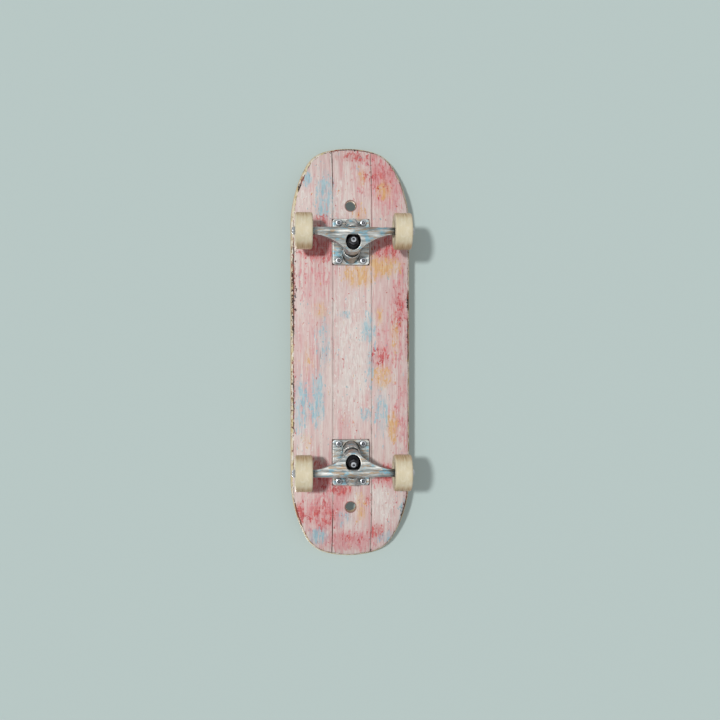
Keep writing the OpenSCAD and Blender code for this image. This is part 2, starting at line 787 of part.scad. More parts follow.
balls(1, 1);  // front_right_balls
cages(1, 1);  // front_right_cages
wheel(-1, -1);  // rear_left_wheel
outer_rings(-1, -1);  // rear_left_outer_rings
balls(-1, -1);  // rear_left_balls
cages(-1, -1);  // rear_left_cages
wheel(-1, 1);  // rear_right_wheel
outer_rings(-1, 1);  // rear_right_outer_rings
balls(-1, 1);  // rear_right_balls
cages(-1, 1);  // rear_right_cages
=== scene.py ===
"""Looks of the skateboard: painted deck, cast trucks and urethane wheels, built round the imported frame."""

import json
import math

import bmesh
import bpy
import numpy as np
from mathutils import Matrix, Vector, noise
from mathutils.geometry import delaunay_2d_cdt

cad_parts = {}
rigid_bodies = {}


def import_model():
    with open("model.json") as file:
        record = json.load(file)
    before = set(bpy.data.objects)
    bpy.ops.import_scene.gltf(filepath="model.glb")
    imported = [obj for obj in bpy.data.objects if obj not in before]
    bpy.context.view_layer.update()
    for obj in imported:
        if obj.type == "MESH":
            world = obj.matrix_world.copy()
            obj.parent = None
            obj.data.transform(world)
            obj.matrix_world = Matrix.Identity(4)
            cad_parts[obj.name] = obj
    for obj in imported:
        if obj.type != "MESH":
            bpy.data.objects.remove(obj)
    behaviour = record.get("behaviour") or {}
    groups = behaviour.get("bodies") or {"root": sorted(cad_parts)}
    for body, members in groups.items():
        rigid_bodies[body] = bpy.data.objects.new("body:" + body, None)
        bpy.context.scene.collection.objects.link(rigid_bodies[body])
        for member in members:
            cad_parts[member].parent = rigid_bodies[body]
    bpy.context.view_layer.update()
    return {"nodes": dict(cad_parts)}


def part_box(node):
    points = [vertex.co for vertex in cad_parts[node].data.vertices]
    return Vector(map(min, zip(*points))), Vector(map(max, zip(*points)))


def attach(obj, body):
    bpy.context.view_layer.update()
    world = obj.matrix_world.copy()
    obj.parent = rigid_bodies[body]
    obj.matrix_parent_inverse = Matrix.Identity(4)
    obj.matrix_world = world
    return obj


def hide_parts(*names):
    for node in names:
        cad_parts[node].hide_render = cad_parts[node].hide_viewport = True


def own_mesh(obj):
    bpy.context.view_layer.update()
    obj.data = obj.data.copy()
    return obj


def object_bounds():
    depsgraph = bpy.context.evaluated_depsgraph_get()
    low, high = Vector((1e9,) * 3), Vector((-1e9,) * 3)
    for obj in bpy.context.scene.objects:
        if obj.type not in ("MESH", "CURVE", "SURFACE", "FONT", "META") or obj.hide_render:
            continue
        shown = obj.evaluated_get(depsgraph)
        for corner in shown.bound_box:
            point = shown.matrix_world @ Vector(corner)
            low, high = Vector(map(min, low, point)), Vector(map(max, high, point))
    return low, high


for leftover in list(bpy.data.objects):
    bpy.data.objects.remove(leftover)
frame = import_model()


def middle(node):
    """The middle of a CAD node's box."""
    return [(low + high) / 2 for low, high in zip(*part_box(node))]


MM = 0.001
ENDS = {"front": 1, "rear": -1}
SIDES = {"left": -1, "right": 1}

# ---------- Sizes of the construction, in metres ----------

# Deck
PLY_T = 1.57 * MM
PLY_COUNT = 7
GRIP_T = 0.8 * MM
GRIP_MARGIN = 2.5 * MM
EDGE_R = 5 * MM
CONCAVE_HALF = 45 * MM
CONCAVE_R = 200 * MM
KICK_R = 225 * MM
KICK_GAP = 4 * MM
TAPER_R = 220 * MM
TAPER_SWEEP = 29
SHOULDER_R = 55 * MM
SHOULDER_END = 72
SEAMS_X = (30 * MM, -36 * MM)
SEAM_W = 0.3 * MM
HOLE_R = 9 * MM
HOLES_Y = (248 * MM, -263 * MM)
GROOVE_W = 0.5 * MM
GROOVE_DEPTH = 0.35 * MM
HALF_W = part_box("ply_4")[1].x
HALF_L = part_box("ply_4")[1].y
DECK_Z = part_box("bottom_strip_centre")[0].z
DECK_T = PLY_COUNT * PLY_T
TOP_Z = DECK_Z + DECK_T + GRIP_T

# Trucks
_, AXLE_Y, AXLE_Z = middle("front_axle")
BOLT_X = 41.3 / 2 * MM
BOLT_Y = 63.5 / 2 * MM
PLATE_Y = middle("front_baseplate")[1]
PLATE_HALF_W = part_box("front_baseplate")[1].x
PLATE_HALF_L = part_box("front_baseplate")[1].y - PLATE_Y
PLATE_T = 6 * MM
BOLT_R = 2.4 * MM
BOLT_PLAY = 0.35 * MM
BOLT_HEAD_R = 4.75 * MM
BOLT_HEAD_H = 2.6 * MM
BOLT_NUT_AF = 9.5 * MM
BOLT_NUT_H = 5 * MM
BOLT_TAIL = 1.6 * MM
KINGPIN_LEAN = 20
RING_INSET = 22 * MM
RING_RISE = 11.5 * MM
KINGPIN_R = 4.75 * MM
KINGPIN_AF = 14.3 * MM
KINGPIN_HEAD_H = 6.3 * MM
KINGPIN_HEAD_GAP = 2.4 * MM
KINGPIN_NUT_H = 9 * MM
KINGPIN_TAIL = 1.4 * MM
WEB_HALF = 3 * MM
BUSHING_R = 12 * MM
BUSHING_BORE_R = 5.05 * MM
BOARDSIDE_H = 16 * MM
ROADSIDE_H = 8 * MM
ROADSIDE_TIP_R = 9 * MM
WASHER_T = 1.6 * MM

# Where the deck starts to curve up
KICK_Y = PLATE_Y + PLATE_HALF_L + KICK_GAP

# Axle and wheels
AXLE_R = 3.97 * MM
AXLE_END_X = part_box("front_axle")[1].x
AXLE_NUT_AF = 12.7 * MM
AXLE_NUT_H = 6 * MM
AXLE_TAIL = 0.6 * MM
WHEEL_R = 30.5 * MM
WHEEL_W = 29 * MM
WHEEL_X = middle("front_right_wheel")[0]
WHEEL_EDGE_R = 3.2 * MM
DISH_R = 19 * MM
HUB_R = 13.5 * MM
DISH_DEPTH = 2.5 * MM
BEARING_R = 11 * MM
BEARING_W = 7 * MM
WHEEL_BORE_R = 9 * MM

# Fineness of the meshes
CREASE = math.radians(35)
RIM_STEP = 2 * MM
# Rows of points that follow the rim: how far in each is, and every how many rim points it has one.
# The even grid of points starts further in.
RIM_ROWS = ((1 * MM, 1), (2.5 * MM, 2), (5 * MM, 3), (9 * MM, 4))
GRID_START = 11 * MM
SEAM_POINTS = 240
HANGING_HOLE_POINTS = 48
BOLT_HOLE_POINTS = 20
HEXAGON_STEPS = 72
THREAD_DEPTH = 0.35 * MM
CASTING_VOXEL = 0.6 * MM

# Looks: how far each next texture of a material is shifted along the axes, and how much brighter
# the studio looks to the camera and in reflections than it lights the board
TEXTURE_SHIFT = (3.7, 1.9, 5.3)
SKY = 0.55


# ---------- Places ----------

def at_truck(end):
    """Frame of one truck: origin on the floor under its axle, +Y towards the end of the deck."""
    return Matrix.Rotation(0 if end > 0 else math.pi, 4, "Z") @ Matrix.Translation((0, AXLE_Y, 0))


def along_kingpin(end):
    """Frame along the kingpin: origin in the middle of the hanger's ring, +Z towards the deck."""
    ring = Matrix.Translation((0, -RING_INSET, AXLE_Z + RING_RISE))
    return at_truck(end) @ ring @ Matrix.Rotation(math.radians(KINGPIN_LEAN), 4, "X")


def along_axle(end, side):
    """Frame along the axle: origin in its middle, +Z towards the wheel on that side of the truck."""
    return at_truck(end) @ Matrix.Translation((0, 0, AXLE_Z)) @ Matrix.Rotation(math.pi / 2 * side, 4, "Y")


def bolt_places(end):
    """Floor points under the four mounting bolts of one truck."""
    return [at_truck(end) @ Vector((sx * BOLT_X, PLATE_Y - AXLE_Y + sy * BOLT_Y, 0))
            for sx in (-1, 1) for sy in (-1, 1)]


def smoothstep(low, high, value):
    t = min(1, max(0, (value - low) / (high - low)))
    return t * t * (3 - 2 * t)


# ---------- Meshes ----------

def link_object(name, data):
    made = bpy.data.objects.new(name, data)
    bpy.context.scene.collection.objects.link(made)
    return made


def finish_mesh(name, bm):
    """Turns a bmesh into an object with smooth faces and sharp creases."""
    bmesh.ops.recalc_face_normals(bm, faces=bm.faces)
    mesh = bpy.data.meshes.new(name)
    bm.to_mesh(mesh)
    bm.free()
    mesh.shade_smooth()
    mesh.set_sharp_from_angle(angle=CREASE)
    return link_object(name, mesh)


def add_lathe(bm, profile, place, steps):
    """Adds a profile of (height, radius) points turned round the Z axis. Points on the axis close it."""
    rings = []
    for height, radius in profile:
        count = 1 if radius < 1e-7 else steps
        turns = [2 * math.pi * i / steps for i in range(count)]
        rings.append([bm.verts.new(place @ Vector((radius * math.cos(a), radius * math.sin(a), height)))
                      for a in turns])
    open_bore = len(rings[0]) > 1 and len(rings[-1]) > 1
    for low, high in zip(rings, rings[1:] + rings[:1] if open_bore else rings[1:]):
        for i in range(steps):
            j = (i + 1) % steps
            corners = [low[i % len(low)], low[j % len(low)], high[j % len(high)], high[i % len(high)]]
            bm.faces.new(list(dict.fromkeys(corners)))


def arc(centre, r, start, end, count=6):
    """Profile points (height, radius) along an arc. Angles run from the +height direction, in degrees."""
    angles = [math.radians(start + (end - start) * i / count) for i in range(count + 1)]
    return [(centre[0] + r * math.cos(a), centre[1] + r * math.sin(a)) for a in angles]


def thread(start, end, r, pitch=1.1 * MM):
    """Profile points of a thread between two heights."""
    count = max(1, round(abs(end - start) / pitch))
    step = (end - start) / count
    points = []
    for i in range(count):
        points += [(start + step * (i + 0.1), r - THREAD_DEPTH), (start + step * (i + 0.45), r),
                   (start + step * (i + 0.65), r)]
    return points + [(end, r - THREAD_DEPTH)]


def add_hexagon(bm, across_flats, height, bore_r, place):
    """Adds a chamfered hexagonal nut from 0 up to height."""
    flat_r = across_flats / 2
    face_r = flat_r * 0.95
    slope = math.tan(math.radians(30))
    mouth = 0.5 * MM
    sixth = math.pi / 3
    angles = [2 * math.pi * i / HEXAGON_STEPS for i in range(HEXAGON_STEPS)]
    sides = [flat_r / math.cos((a + sixth / 2) % sixth - sixth / 2) for a in angles]
    drops = [(r - face_r) * slope for r in sides]
    rows = [[(face_r, 0)] * HEXAGON_STEPS, list(zip(sides, drops)),
            [(r, height - drop) for r, drop in zip(sides, drops)]]
    bore = [(bore_r + mouth, height), (bore_r, height - mouth), (bore_r, mouth), (bore_r + mouth, 0)]
    rows += [[point] * HEXAGON_STEPS for point in [(face_r, height)] + bore]
    loops = [[bm.verts.new(place @ Vector((r * math.cos(a), r * math.sin(a), h)))
              for a, (r, h) in zip(angles, row)] for row in rows]
    for low, high in zip(loops, loops[1:] + loops[:1]):
        for i in range(HEXAGON_STEPS):
            j = (i + 1) % HEXAGON_STEPS
            bm.faces.new([low[i], low[j], high[j], high[i]])


# ---------- Deck shape ----------

def rim():
    """Points round the deck's outline and the outward direction at each, as two arrays."""
    taper_x = HALF_W - TAPER_R
    sweep, turn = math.radians(TAPER_SWEEP), math.radians(SHOULDER_END)
    shoulder_x = taper_x + (TAPER_R - SHOULDER_R) * math.cos(sweep)
    shoulder_y = (TAPER_R - SHOULDER_R) * math.sin(sweep)
    tip_r = SHOULDER_R + shoulder_x / math.cos(turn)
    tip_y = shoulder_y - (tip_r - SHOULDER_R) * math.sin(turn)
    end_y = HALF_L - tip_y - tip_r
    arcs = [((taper_x, 0), TAPER_R, 0, sweep), ((shoulder_x, shoulder_y), SHOULDER_R, sweep, turn),
            ((0, tip_y), tip_r, turn, math.pi - turn),
            ((-shoulder_x, shoulder_y), SHOULDER_R, math.pi - turn, math.pi - sweep),
            ((-taper_x, 0), TAPER_R, math.pi - sweep, math.pi)]
    side_steps = round(2 * end_y / RIM_STEP)
    points = [(HALF_W, -end_y + 2 * end_y * i / side_steps) for i in range(side_steps)]
    normals = [(1, 0)] * side_steps
    for (cx, cy), r, start, end in arcs:
        steps = round(r * (end - start) / RIM_STEP)
        for i in range(steps):
            a = start + (end - start) * i / steps
            points.append((cx + r * math.cos(a), end_y + cy + r * math.sin(a)))
            normals.append((math.cos(a), math.sin(a)))
    points, normals = np.array(points), np.array(normals)
    return np.vstack([points, -points]), np.vstack([normals, -normals])


RIM, RIM_OUT = rim()


def depth_in(p):
    """How far a plan point lies inside the deck's widest outline, and the nearest rim point's number."""
    nearest = int(np.argmin(((RIM - p) ** 2).sum(1)))
    return float((RIM[nearest] - p) @ RIM_OUT[nearest]), nearest


def edge_inset(level):
    """How far the rounded edge draws the deck in at a height above its underside."""
    rest = EDGE_R - min(level, DECK_T - level)
    return EDGE_R - math.sqrt(max(0, EDGE_R ** 2 - rest ** 2)) if rest > 0 else 0


def sheet_z(x, y, level):
    """Height of the pressed sheet's surface that lies level above the deck's underside."""
    side = max(0, abs(x) - CONCAVE_HALF)
    section = CONCAVE_R - math.sqrt((CONCAVE_R - level) ** 2 - side ** 2)
    along = max(0, abs(y) - KICK_Y)
    return DECK_Z + KICK_R - math.sqrt((KICK_R - section) ** 2 - along ** 2)


def circle(centre, r, count):
    angles = [2 * math.pi * i / count for i in range(count)]
    return [(centre[0] + r * math.cos(a), centre[1] + r * math.sin(a)) for a in angles]


def kick_hole(y, level):
    """Plan points of a hanging hole, square to the kick that it is drilled in, at one level."""
    sign = 1 if y > 0 else -1
    lean = math.asin((abs(y) - KICK_Y) / KICK_R)
    reach = KICK_R - level
    return [(u, sign * (KICK_Y + reach * math.sin(lean + math.asin(v / reach))))
            for u, v in circle((0, 0), HOLE_R, HANGING_HOLE_POINTS)]


def bolt_hole(centre, level):
    """Plan points of a mounting hole, with its countersink for the bolt's head, at one level."""
    sink = max(0, (level - (DECK_T + GRIP_T - BOLT_HEAD_H)) / BOLT_HEAD_H)
    return circle(centre, BOLT_R + BOLT_PLAY + (BOLT_HEAD_R - BOLT_R) * sink, BOLT_HOLE_POINTS)


def hole_loops(level):
    """Every hole through the deck, at one level."""
    bolts = [bolt_hole((c.x, c.y), level) for end in ENDS.values() for c in bolt_places(end)]
    return [kick_hole(y, level) for y in HOLES_Y] + bolts


def chip_depth(seed, amount, scale=26):
    """Worn dents and chips along the rim: how far each rim point is eaten in."""
    depth = []
    for x, y in RIM:
        coarse = noise.noise(Vector((x * scale, y * scale, seed)))
        fine = noise.noise(Vector((x * scale * 6, y * scale * 6, seed + 7)))
        depth.append(amount * (smoothstep(0.15, 0.5, coarse + 0.4 * fine) + 0.08 * (1 + fine)))
    return np.array(depth)


def groove(x):
    """How deep the worn seam between two bottom strips is at an offset from the middle."""
    off = min(abs(x - s) for s in SEAMS_X)
    return GROOVE_DEPTH * max(0, 1 - off / GROOVE_W)


def plan_points(rings, middles, clear, grid, seams):
    """A sheet's plan as points and the edges to keep: its loops, rows along the rim, a grid and the seams."""
    verts = [tuple(p) for loop in rings for p in loop]
    starts = np.cumsum([0] + [len(loop) for loop in rings])
    edges = [(s + i, s + (i + 1) % len(loop)) for s, loop in zip(starts, rings) for i in range(len(loop))]
    for depth, skip in RIM_ROWS:
        verts += [tuple(p) for p in (RIM - RIM_OUT * (clear + depth))[::skip]]
    for x in np.arange(-HALF_W, HALF_W, grid):
        if seams and min(abs(x - s) for s in SEAMS_X) < 2 * GROOVE_W:
            continue
        for y in np.arange(-HALF_L, HALF_L, grid):
            p = np.array((x, y))
            inside = depth_in(p)[0] > clear + GRID_START
            if inside and all(np.linalg.norm(p - m) > r + grid / 3 for m, r in middles):
                verts.append((x, y))
    for x in [s + off for s in SEAMS_X for off in (-GROOVE_W, 0, GROOVE_W)] if seams else []:
        ends = [y for y in np.arange(0, HALF_L, MM) if depth_in(np.array((x, y)))[0] > clear + MM]
        line = [(x, y) for y in np.linspace(-ends[-1], ends[-1], SEAM_POINTS)]
        edges += [(len(verts) + i, len(verts) + i + 1) for i in range(len(line) - 1)]
        verts += line
    return verts, edges, starts


def deck_layer(low, high, grid, margin=0, chips=0, seams=False, steps=4):
    """One sheet of the deck between two levels, closed, with its share of the rounded edge and the holes."""
    def loops_at(level):
        inset = margin + edge_inset(min(level, DECK_T)) + chips * smoothstep(high, low, level)
        rim_loop = RIM - RIM_OUT * np.reshape(np.broadcast_to(inset, len(RIM)), (-1, 1))
        return [rim_loop] + [np.array(loop) for loop in hole_loops(level)]

    rings = loops_at(low)
    middles = [(loop.mean(axis=0), np.linalg.norm(loop[0] - loop.mean(axis=0))) for loop in rings[1:]]
    clear = max(edge_inset(min(low, DECK_T)), edge_inset(min(high, DECK_T))) + margin + float(np.max(chips))
    verts, edges, starts = plan_points(rings, middles, clear, grid, seams)
    out, _, faces, origin, _, _ = delaunay_2d_cdt([Vector(p) for p in verts], edges, [], 0, 1e-8, True)
    plan = np.array([tuple(v) for v in out])
    index = {old: new for new, olds in enumerate(origin) for old in olds}
    limit = margin + edge_inset(min(low, DECK_T)) + np.broadcast_to(chips, len(RIM))

    def inside(face):
        centre = plan[list(face)].mean(axis=0)
        depth, nearest = depth_in(centre)
        off_holes = all(np.linalg.norm(centre - m) > r * 0.98 for m, r in middles)
        return depth > limit[nearest] - 1e-6 and off_holes

    kept = [f for f in faces if inside(f)]
    bm = bmesh.new()
    edge_layer = bm.verts.layers.float.new("edge")

    def add(p, level, lift=0):
        v = bm.verts.new((p[0], p[1], sheet_z(p[0], p[1], level) + lift))
        v[edge_layer] = depth_in(np.array(p))[0]
        return v

    at_top = {index[s + i]: p for s, loop in zip(starts, loops_at(high)) for i, p in enumerate(loop)}
    bottom = [add(p, low, groove(p[0]) if seams else 0) for p in plan]
    top = [add(at_top.get(i, p), high) for i, p in enumerate(plan)]
    for f in kept:
        bm.faces.new([bottom[i] for i in reversed(f)])
        bm.faces.new([top[i] for i in f])
    levels = [low + (high - low) * (i / steps) ** 1.5 for i in range(1, steps)]
    between = [loops_at(level) for level in levels]
    for n, (s, loop) in enumerate(zip(starts, rings)):
        walls = [[bottom[index[s + i]] for i in range(len(loop))]]
        walls += [[add(p, level) for p in loops[n]] for level, loops in zip(levels, between)]
        walls.append([top[index[s + i]] for i in range(len(loop))])
        for a, b in zip(walls, walls[1:]):
            for i in range(len(loop)):
                j = (i + 1) % len(loop)
                bm.faces.new([a[i], a[j], b[j], b[i]])
    bmesh.ops.delete(bm, geom=[v for v in bm.verts if not v.link_faces], context="VERTS")
    return bm


# ---------- Materials ----------

def rgb(code):
    """Linear colour of a hexadecimal sRGB one."""
    values = [int(code[i:i + 2], 16) / 255 for i in (0, 2, 4)]
    return tuple(v / 12.92 if v <= 0.04045 else ((v + 0.055) / 1.055) ** 2.4 for v in values) + (1,)


class Nodes:
    """The nodes of a material or a world. Most calls add one and give its output. Colours are sRGB codes."""

    def __init__(self, owner):
        owner.use_nodes = True
        self.tree = owner.node_tree

    def add(self, kind, **settings):
        made = self.tree.nodes.new(kind)
        for key, value in settings.items():
            setattr(made, key, value)
        return made

    def feed(self, socket, value):
        if isinstance(value, bpy.types.NodeSocket):
            self.tree.links.new(value, socket)
        else:
            socket.default_value = rgb(value) if isinstance(value, str) else value

    def wire(self, node, **values):
        """Feeds several inputs of a node and gives its outputs. Underscores stand for spaces."""
        for key, value in values.items():
            self.feed(node.inputs[key.replace("_", " ")], value)
        return node.outputs

    def math(self, operation, a, b=0, c=0):
        made = self.add("ShaderNodeMath", operation=operation)
        for socket, value in zip(made.inputs, (a, b, c)):
            self.feed(socket, value)
        return made.outputs["Value"]

    def times(self, a, b, plus=0):
        return self.math("MULTIPLY_ADD", a, b, plus)

    def step(self, value, low, high, to_low=0, to_high=1):
        """Smooth step of a value from low to high."""
        made = self.add("ShaderNodeMapRange", interpolation_type="SMOOTHSTEP")
        self.wire(made, Value=value, From_Min=low, From_Max=high, To_Min=to_low, To_Max=to_high)
        return made.outputs["Result"]

    def split(self, vector):
        return self.wire(self.add("ShaderNodeSeparateXYZ"), Vector=vector)


class Shader(Nodes):
    """A material of nodes in its object's own coordinates."""

    def __init__(self, name):
        self.material = bpy.data.materials.new(name)
        super().__init__(self.material)
        self.bsdf = self.tree.nodes["Principled BSDF"]
        self.place = self.add("ShaderNodeTexCoord").outputs["Object"]
        self.drawn = 0

    def set(self, **values):
        self.wire(self.bsdf, **values)

    def scaled(self, scale):
        """Object coordinates at a scale per metre along each axis, shifted afresh for each texture."""
        self.drawn += 1
        shift = [self.drawn * step for step in TEXTURE_SHIFT]
        made = self.add("ShaderNodeMapping")
        return self.wire(made, Vector=self.place, Scale=scale, Location=shift)["Vector"]

    def noise(self, scale, detail=4, rough=0.6, warp=0):
        """Noise from 0 to 1, at a scale per metre along each axis."""
        made = self.add("ShaderNodeTexNoise")
        self.wire(made, Vector=self.scaled(scale), Scale=1, Detail=detail, Roughness=rough, Distortion=warp)
        return made.outputs["Fac"]

    def mix(self, share, a, b):
        """Colour a with a share of colour b laid over it."""
        made = self.add("ShaderNodeMix", data_type="RGBA")
        self.feed(made.inputs["Factor"], share)
        self.feed(made.inputs[6], a)
        self.feed(made.inputs[7], b)
        return made.outputs[2]

    def open_air(self, reach):
        """How open the surface is, from 0 in a tight corner to 1."""
        return self.wire(self.add("ShaderNodeAmbientOcclusion", samples=6), Distance=reach)["AO"]

    def attribute(self, name):
        return self.add("ShaderNodeAttribute", attribute_name=name).outputs

    def bump(self, height, strength, distance=0.3 * MM):
        made = self.add("ShaderNodeBump")
        return self.wire(made, Height=height, Strength=strength, Distance=distance)["Normal"]


def brushed_paint(s, streak, hair, across):
    """A ground of two pale pinks, with dry dabs of five more paints over it where the patches lie. The rose
    and red dabs round the trucks are also painted shade, turning the trucks' shadows maroon.
    """
    colour = s.mix(s.step(s.noise((46, 7, 1), 5, 0.62, 0.6), 0.38, 0.62), "cdaeaa", "d3bdb8")
    colour = s.mix(s.step(streak, 0.46, 0.60, 0, 0.75), colour, "dbd0c9")
    colour = s.mix(s.step(s.noise((190, 12, 1), 5, 0.6, 0.4), 0.52, 0.64, 0, 0.75), colour, "cd9797")
    gaps = s.noise((85, 60, 1), 5, 0.7, 0.6)
    stroke = s.noise((270, 30, 1), 5, 0.65, 0.5)
    dab = s.noise((230, 105, 1), 4, 0.6, 0.5)
    warm = s.split(s.attribute("warm")["Vector"])
    cool = s.split(s.attribute("cool")["Vector"])
    # The rose and red dabs (warm[0] and warm[1]) round the trucks are painted shade as well as paint.
    for field, light, dark, cover, cut, turn in (
            (cool[1], "e0dad4", "d3c9c3", 0.55, 0.62, (210, 26, 1)),
            (warm[0], "cb7a80", "d59c9c", 0.6, 0.615, (250, 24, 1)),
            (cool[0], "a0c0c8", "80b3c0", 0.45, 0.62, (230, 28, 1)),
            (warm[2], "d09c5c", "d9b57f", 0.5, 0.625, (170, 50, 1)),
            (warm[1], "b02f36", "cc5b58", 0.5, 0.625, (190, 90, 1))):
        body = s.times(gaps, 1.5, s.times(stroke, 1.7, field))
        tint = s.step(body, 1.8, 2.75, 0, cover)
        marks = s.times(dab, 0.5, s.times(s.noise(turn, 4, 0.65, 0.5), 0.5))
        marks = s.step(s.times(field, 0.16, marks), cut, cut + 0.025, 0, 0.85)
        paint = s.mix(s.step(s.noise((420, 70, 1), 4, 0.6), 0.42, 0.60), light, dark)
        colour = s.mix(s.math("MAXIMUM", tint, marks), colour, paint)
    colour = s.mix(s.step(hair, 0.50, 0.70, 0, 0.42), colour, "ddd1c9")
    colour = s.mix(s.step(across, 0.54, 0.72, 0, 0.32), colour, "d8c7c0")
    colour = s.mix(s.step(s.noise((1000, 60, 1), 2), 0.54, 0.72, 0, 0.36), colour, "a37c77")
    fleck = s.step(s.noise((250, 130, 1), 2, 0.5, 0.5), 0.69, 0.72, 0, 0.8)
    return s.mix(fleck, colour, s.mix(s.step(s.noise((70, 40, 1), 1), 0.49, 0.51), "84b0b5", "b4574f"))


def crack_mask(s):
    """Hairline cracks along the grain."""
    crack = s.math("ABSOLUTE", s.math("SUBTRACT", s.noise((150, 5, 1), 2, 0.5, 0.2), 0.5))
    return s.times(s.step(crack, 0, 0.005, 1, 0), s.step(s.noise((30, 12, 1), 3), 0.57, 0.66))


def seam_dirt_and_plate_shade(s, x, y):
    """Dirt in the seams, most near their ends, and painted contact shade on the deck round the baseplates."""
    age = s.step(s.noise((3, 40, 1), 4, 0.7), 0.38, 0.62, 0.25, 0.85)
    ends = s.times(s.step(s.math("ABSOLUTE", y), 0.25, 0.29), s.step(x, -0.01, 0.01, 0.6, 1))
    age = s.math("MAXIMUM", age, ends)
    off = s.math("MINIMUM", *[s.math("ABSOLUTE", s.math("SUBTRACT", x, seam)) for seam in SEAMS_X])
    wander = s.times(s.noise((4, 60, 1), 4, 0.7), 1.1 * MM)
    reach = s.times(wander, s.times(ends, 0.9, 1))
    seams = s.times(s.step(off, s.times(reach, 0.4), reach, 1, 0), age)
    out_x = s.math("SUBTRACT", s.math("ABSOLUTE", x), PLATE_HALF_W)
    out_y = s.math("ABSOLUTE", s.math("SUBTRACT", s.math("ABSOLUTE", y), PLATE_Y))
    outside = s.math("MAXIMUM", out_x, s.math("SUBTRACT", out_y, PLATE_HALF_L))
    return seams, s.step(outside, s.times(wander, 0.8), s.times(wander, 2.6), 0.9, 0)


def worn_rim(s, colour, x, y):
    """Bare maple and primer at the rim, a dark broken line where the paint ends, and chips in it."""
    chipped = s.split(s.attribute("cool")["Vector"])[2]
    depth = s.attribute("edge")["Fac"]
    worn = s.times(s.noise((60, 60, 1), 5, 0.75), 5 * MM, 0.1 * MM)
    wide = s.times(s.step(x, 0, 0.08), s.step(y, -0.27, -0.17, 0.2 * MM, 2.4 * MM))
    beyond = s.math("SUBTRACT", depth, s.math("ADD", worn, wide))
    wood = s.mix(s.step(s.noise((200, 50, 40), 5, 0.7), 0.40, 0.60), "d9cfba", "cfc190")
    wood = s.mix(s.step(s.noise((150, 60, 60), 5, 0.7), 0.46, 0.58), wood, "e6e0d6")
    wood = s.mix(s.step(s.noise((240, 110, 60), 5, 0.7), 0.56, 0.64), wood, "8d6a55")
    colour = s.mix(s.step(beyond, -0.2 * MM, 0.2 * MM, 1, 0), colour, wood)
    outline = s.step(depth, 0.3 * MM, 1.1 * MM, 0.9, 0)
    outline = s.times(outline, s.step(worn, 2.2 * MM, 2.7 * MM, 1, 0.3))
    colour = s.mix(outline, colour, "5b3f2e")
    line_w = s.times(chipped, 1.5 * MM, s.times(s.noise((90, 90, 1), 4, 0.7), 1.1 * MM))
    line = s.step(s.math("ABSOLUTE", beyond), s.times(line_w, 0.5), line_w, 1, 0)
    unbroken = s.times(chipped, 0.16, s.noise((70, 70, 1), 5, 0.75))
    line = s.times(line, s.step(unbroken, 0.44, 0.52, 0, 0.9))
    line_tone = s.mix(s.step(s.noise((60, 40, 1), 2), 0.47, 0.53), "3d2621", "7c3d31")
    colour = s.mix(line, colour, line_tone)
    spot = s.times(chipped, 0.13, s.noise((210, 120, 1), 5, 0.75))
    chip = s.step(s.times(depth, -14, spot), 0.565, 0.59)
    chip_tone = s.mix(s.step(s.noise((40, 26, 1), 2), 0.50, 0.54), "33211d", "8f3a33")
    return s.mix(chip, colour, chip_tone), chip


def grubby_holes(s, colour, x, y):
    """A brown rim round each hanging hole."""
    for hole_y in HOLES_Y:
        along = s.math("SUBTRACT", y, hole_y)
        away = s.math("SQRT", s.math("ADD", s.times(x, x), s.times(along, along)))
        colour = s.mix(s.step(away, HOLE_R + 0.4 * MM, HOLE_R + 2.2 * MM, 0.85, 0), colour, "7a4538")
    return colour


def painted_wood():
    """Chalky pink paint, dry-brushed in many thin colours along the grain, and worn off at the rim."""
    s = Shader("painted_wood")
    x, y, _ = s.split(s.place)
    streak = s.noise((260, 9, 1), 5, 0.62, 0.3)
    hair = s.noise((850, 26, 1), 3, 0.6)
    across = s.noise((50, 620, 1), 3, 0.6)
    colour = brushed_paint(s, streak, hair, across)
    crack = crack_mask(s)
    colour = s.mix(s.times(crack, 0.7), colour, "6d4a40")
    seams, plate_contact_shade = seam_dirt_and_plate_shade(s, x, y)
    # Dark brown: dirt in the seams, and painted contact shade on the deck round the baseplates.
    colour = s.mix(s.math("MAXIMUM", seams, plate_contact_shade), colour, "4d302a")
    colour, chip = worn_rim(s, colour, x, y)
    colour = grubby_holes(s, colour, x, y)
    height = s.times(streak, 0.6, s.times(across, 0.45, s.times(hair, 0.55)))
    height = s.math("SUBTRACT", height, s.math("MAXIMUM", s.math("MAXIMUM", chip, crack), seams))
    s.set(Base_Color=colour, Roughness=s.step(streak, 0.3, 0.7, 0.55, 0.75), Normal=s.bump(height, 0.4))
    s.set(Specular_IOR_Level=0.25)
    return s.material


def maple(name, light, dark, along=True):
    """Rotary-cut maple. Plies run along the board or across it."""
    s = Shader(name)
    stretch = (420, 14, 500) if along else (14, 420, 500)
    grain = s.noise(stretch, 5, 0.62, 0.4)
    flow = s.noise((40, 4, 60) if along else (4, 40, 60), 3, 0.5, 1.0)
    colour = s.mix(s.step(grain, 0.3, 0.7), light, dark)
    colour = s.mix(s.step(flow, 0.35, 0.7, 0, 0.5), colour, "e9d9b8")
    stain = s.step(s.noise((34, 34, 60), 5, 0.7), 0.56, 0.70, 0, 0.65)
    colour = s.mix(stain, colour, "7c5a3a")
    s.set(Base_Color=colour, Roughness=s.step(grain, 0.3, 0.7, 0.5, 0.68))
    s.set(Normal=s.bump(grain, 0.3, 0.15 * MM))
    return s.material


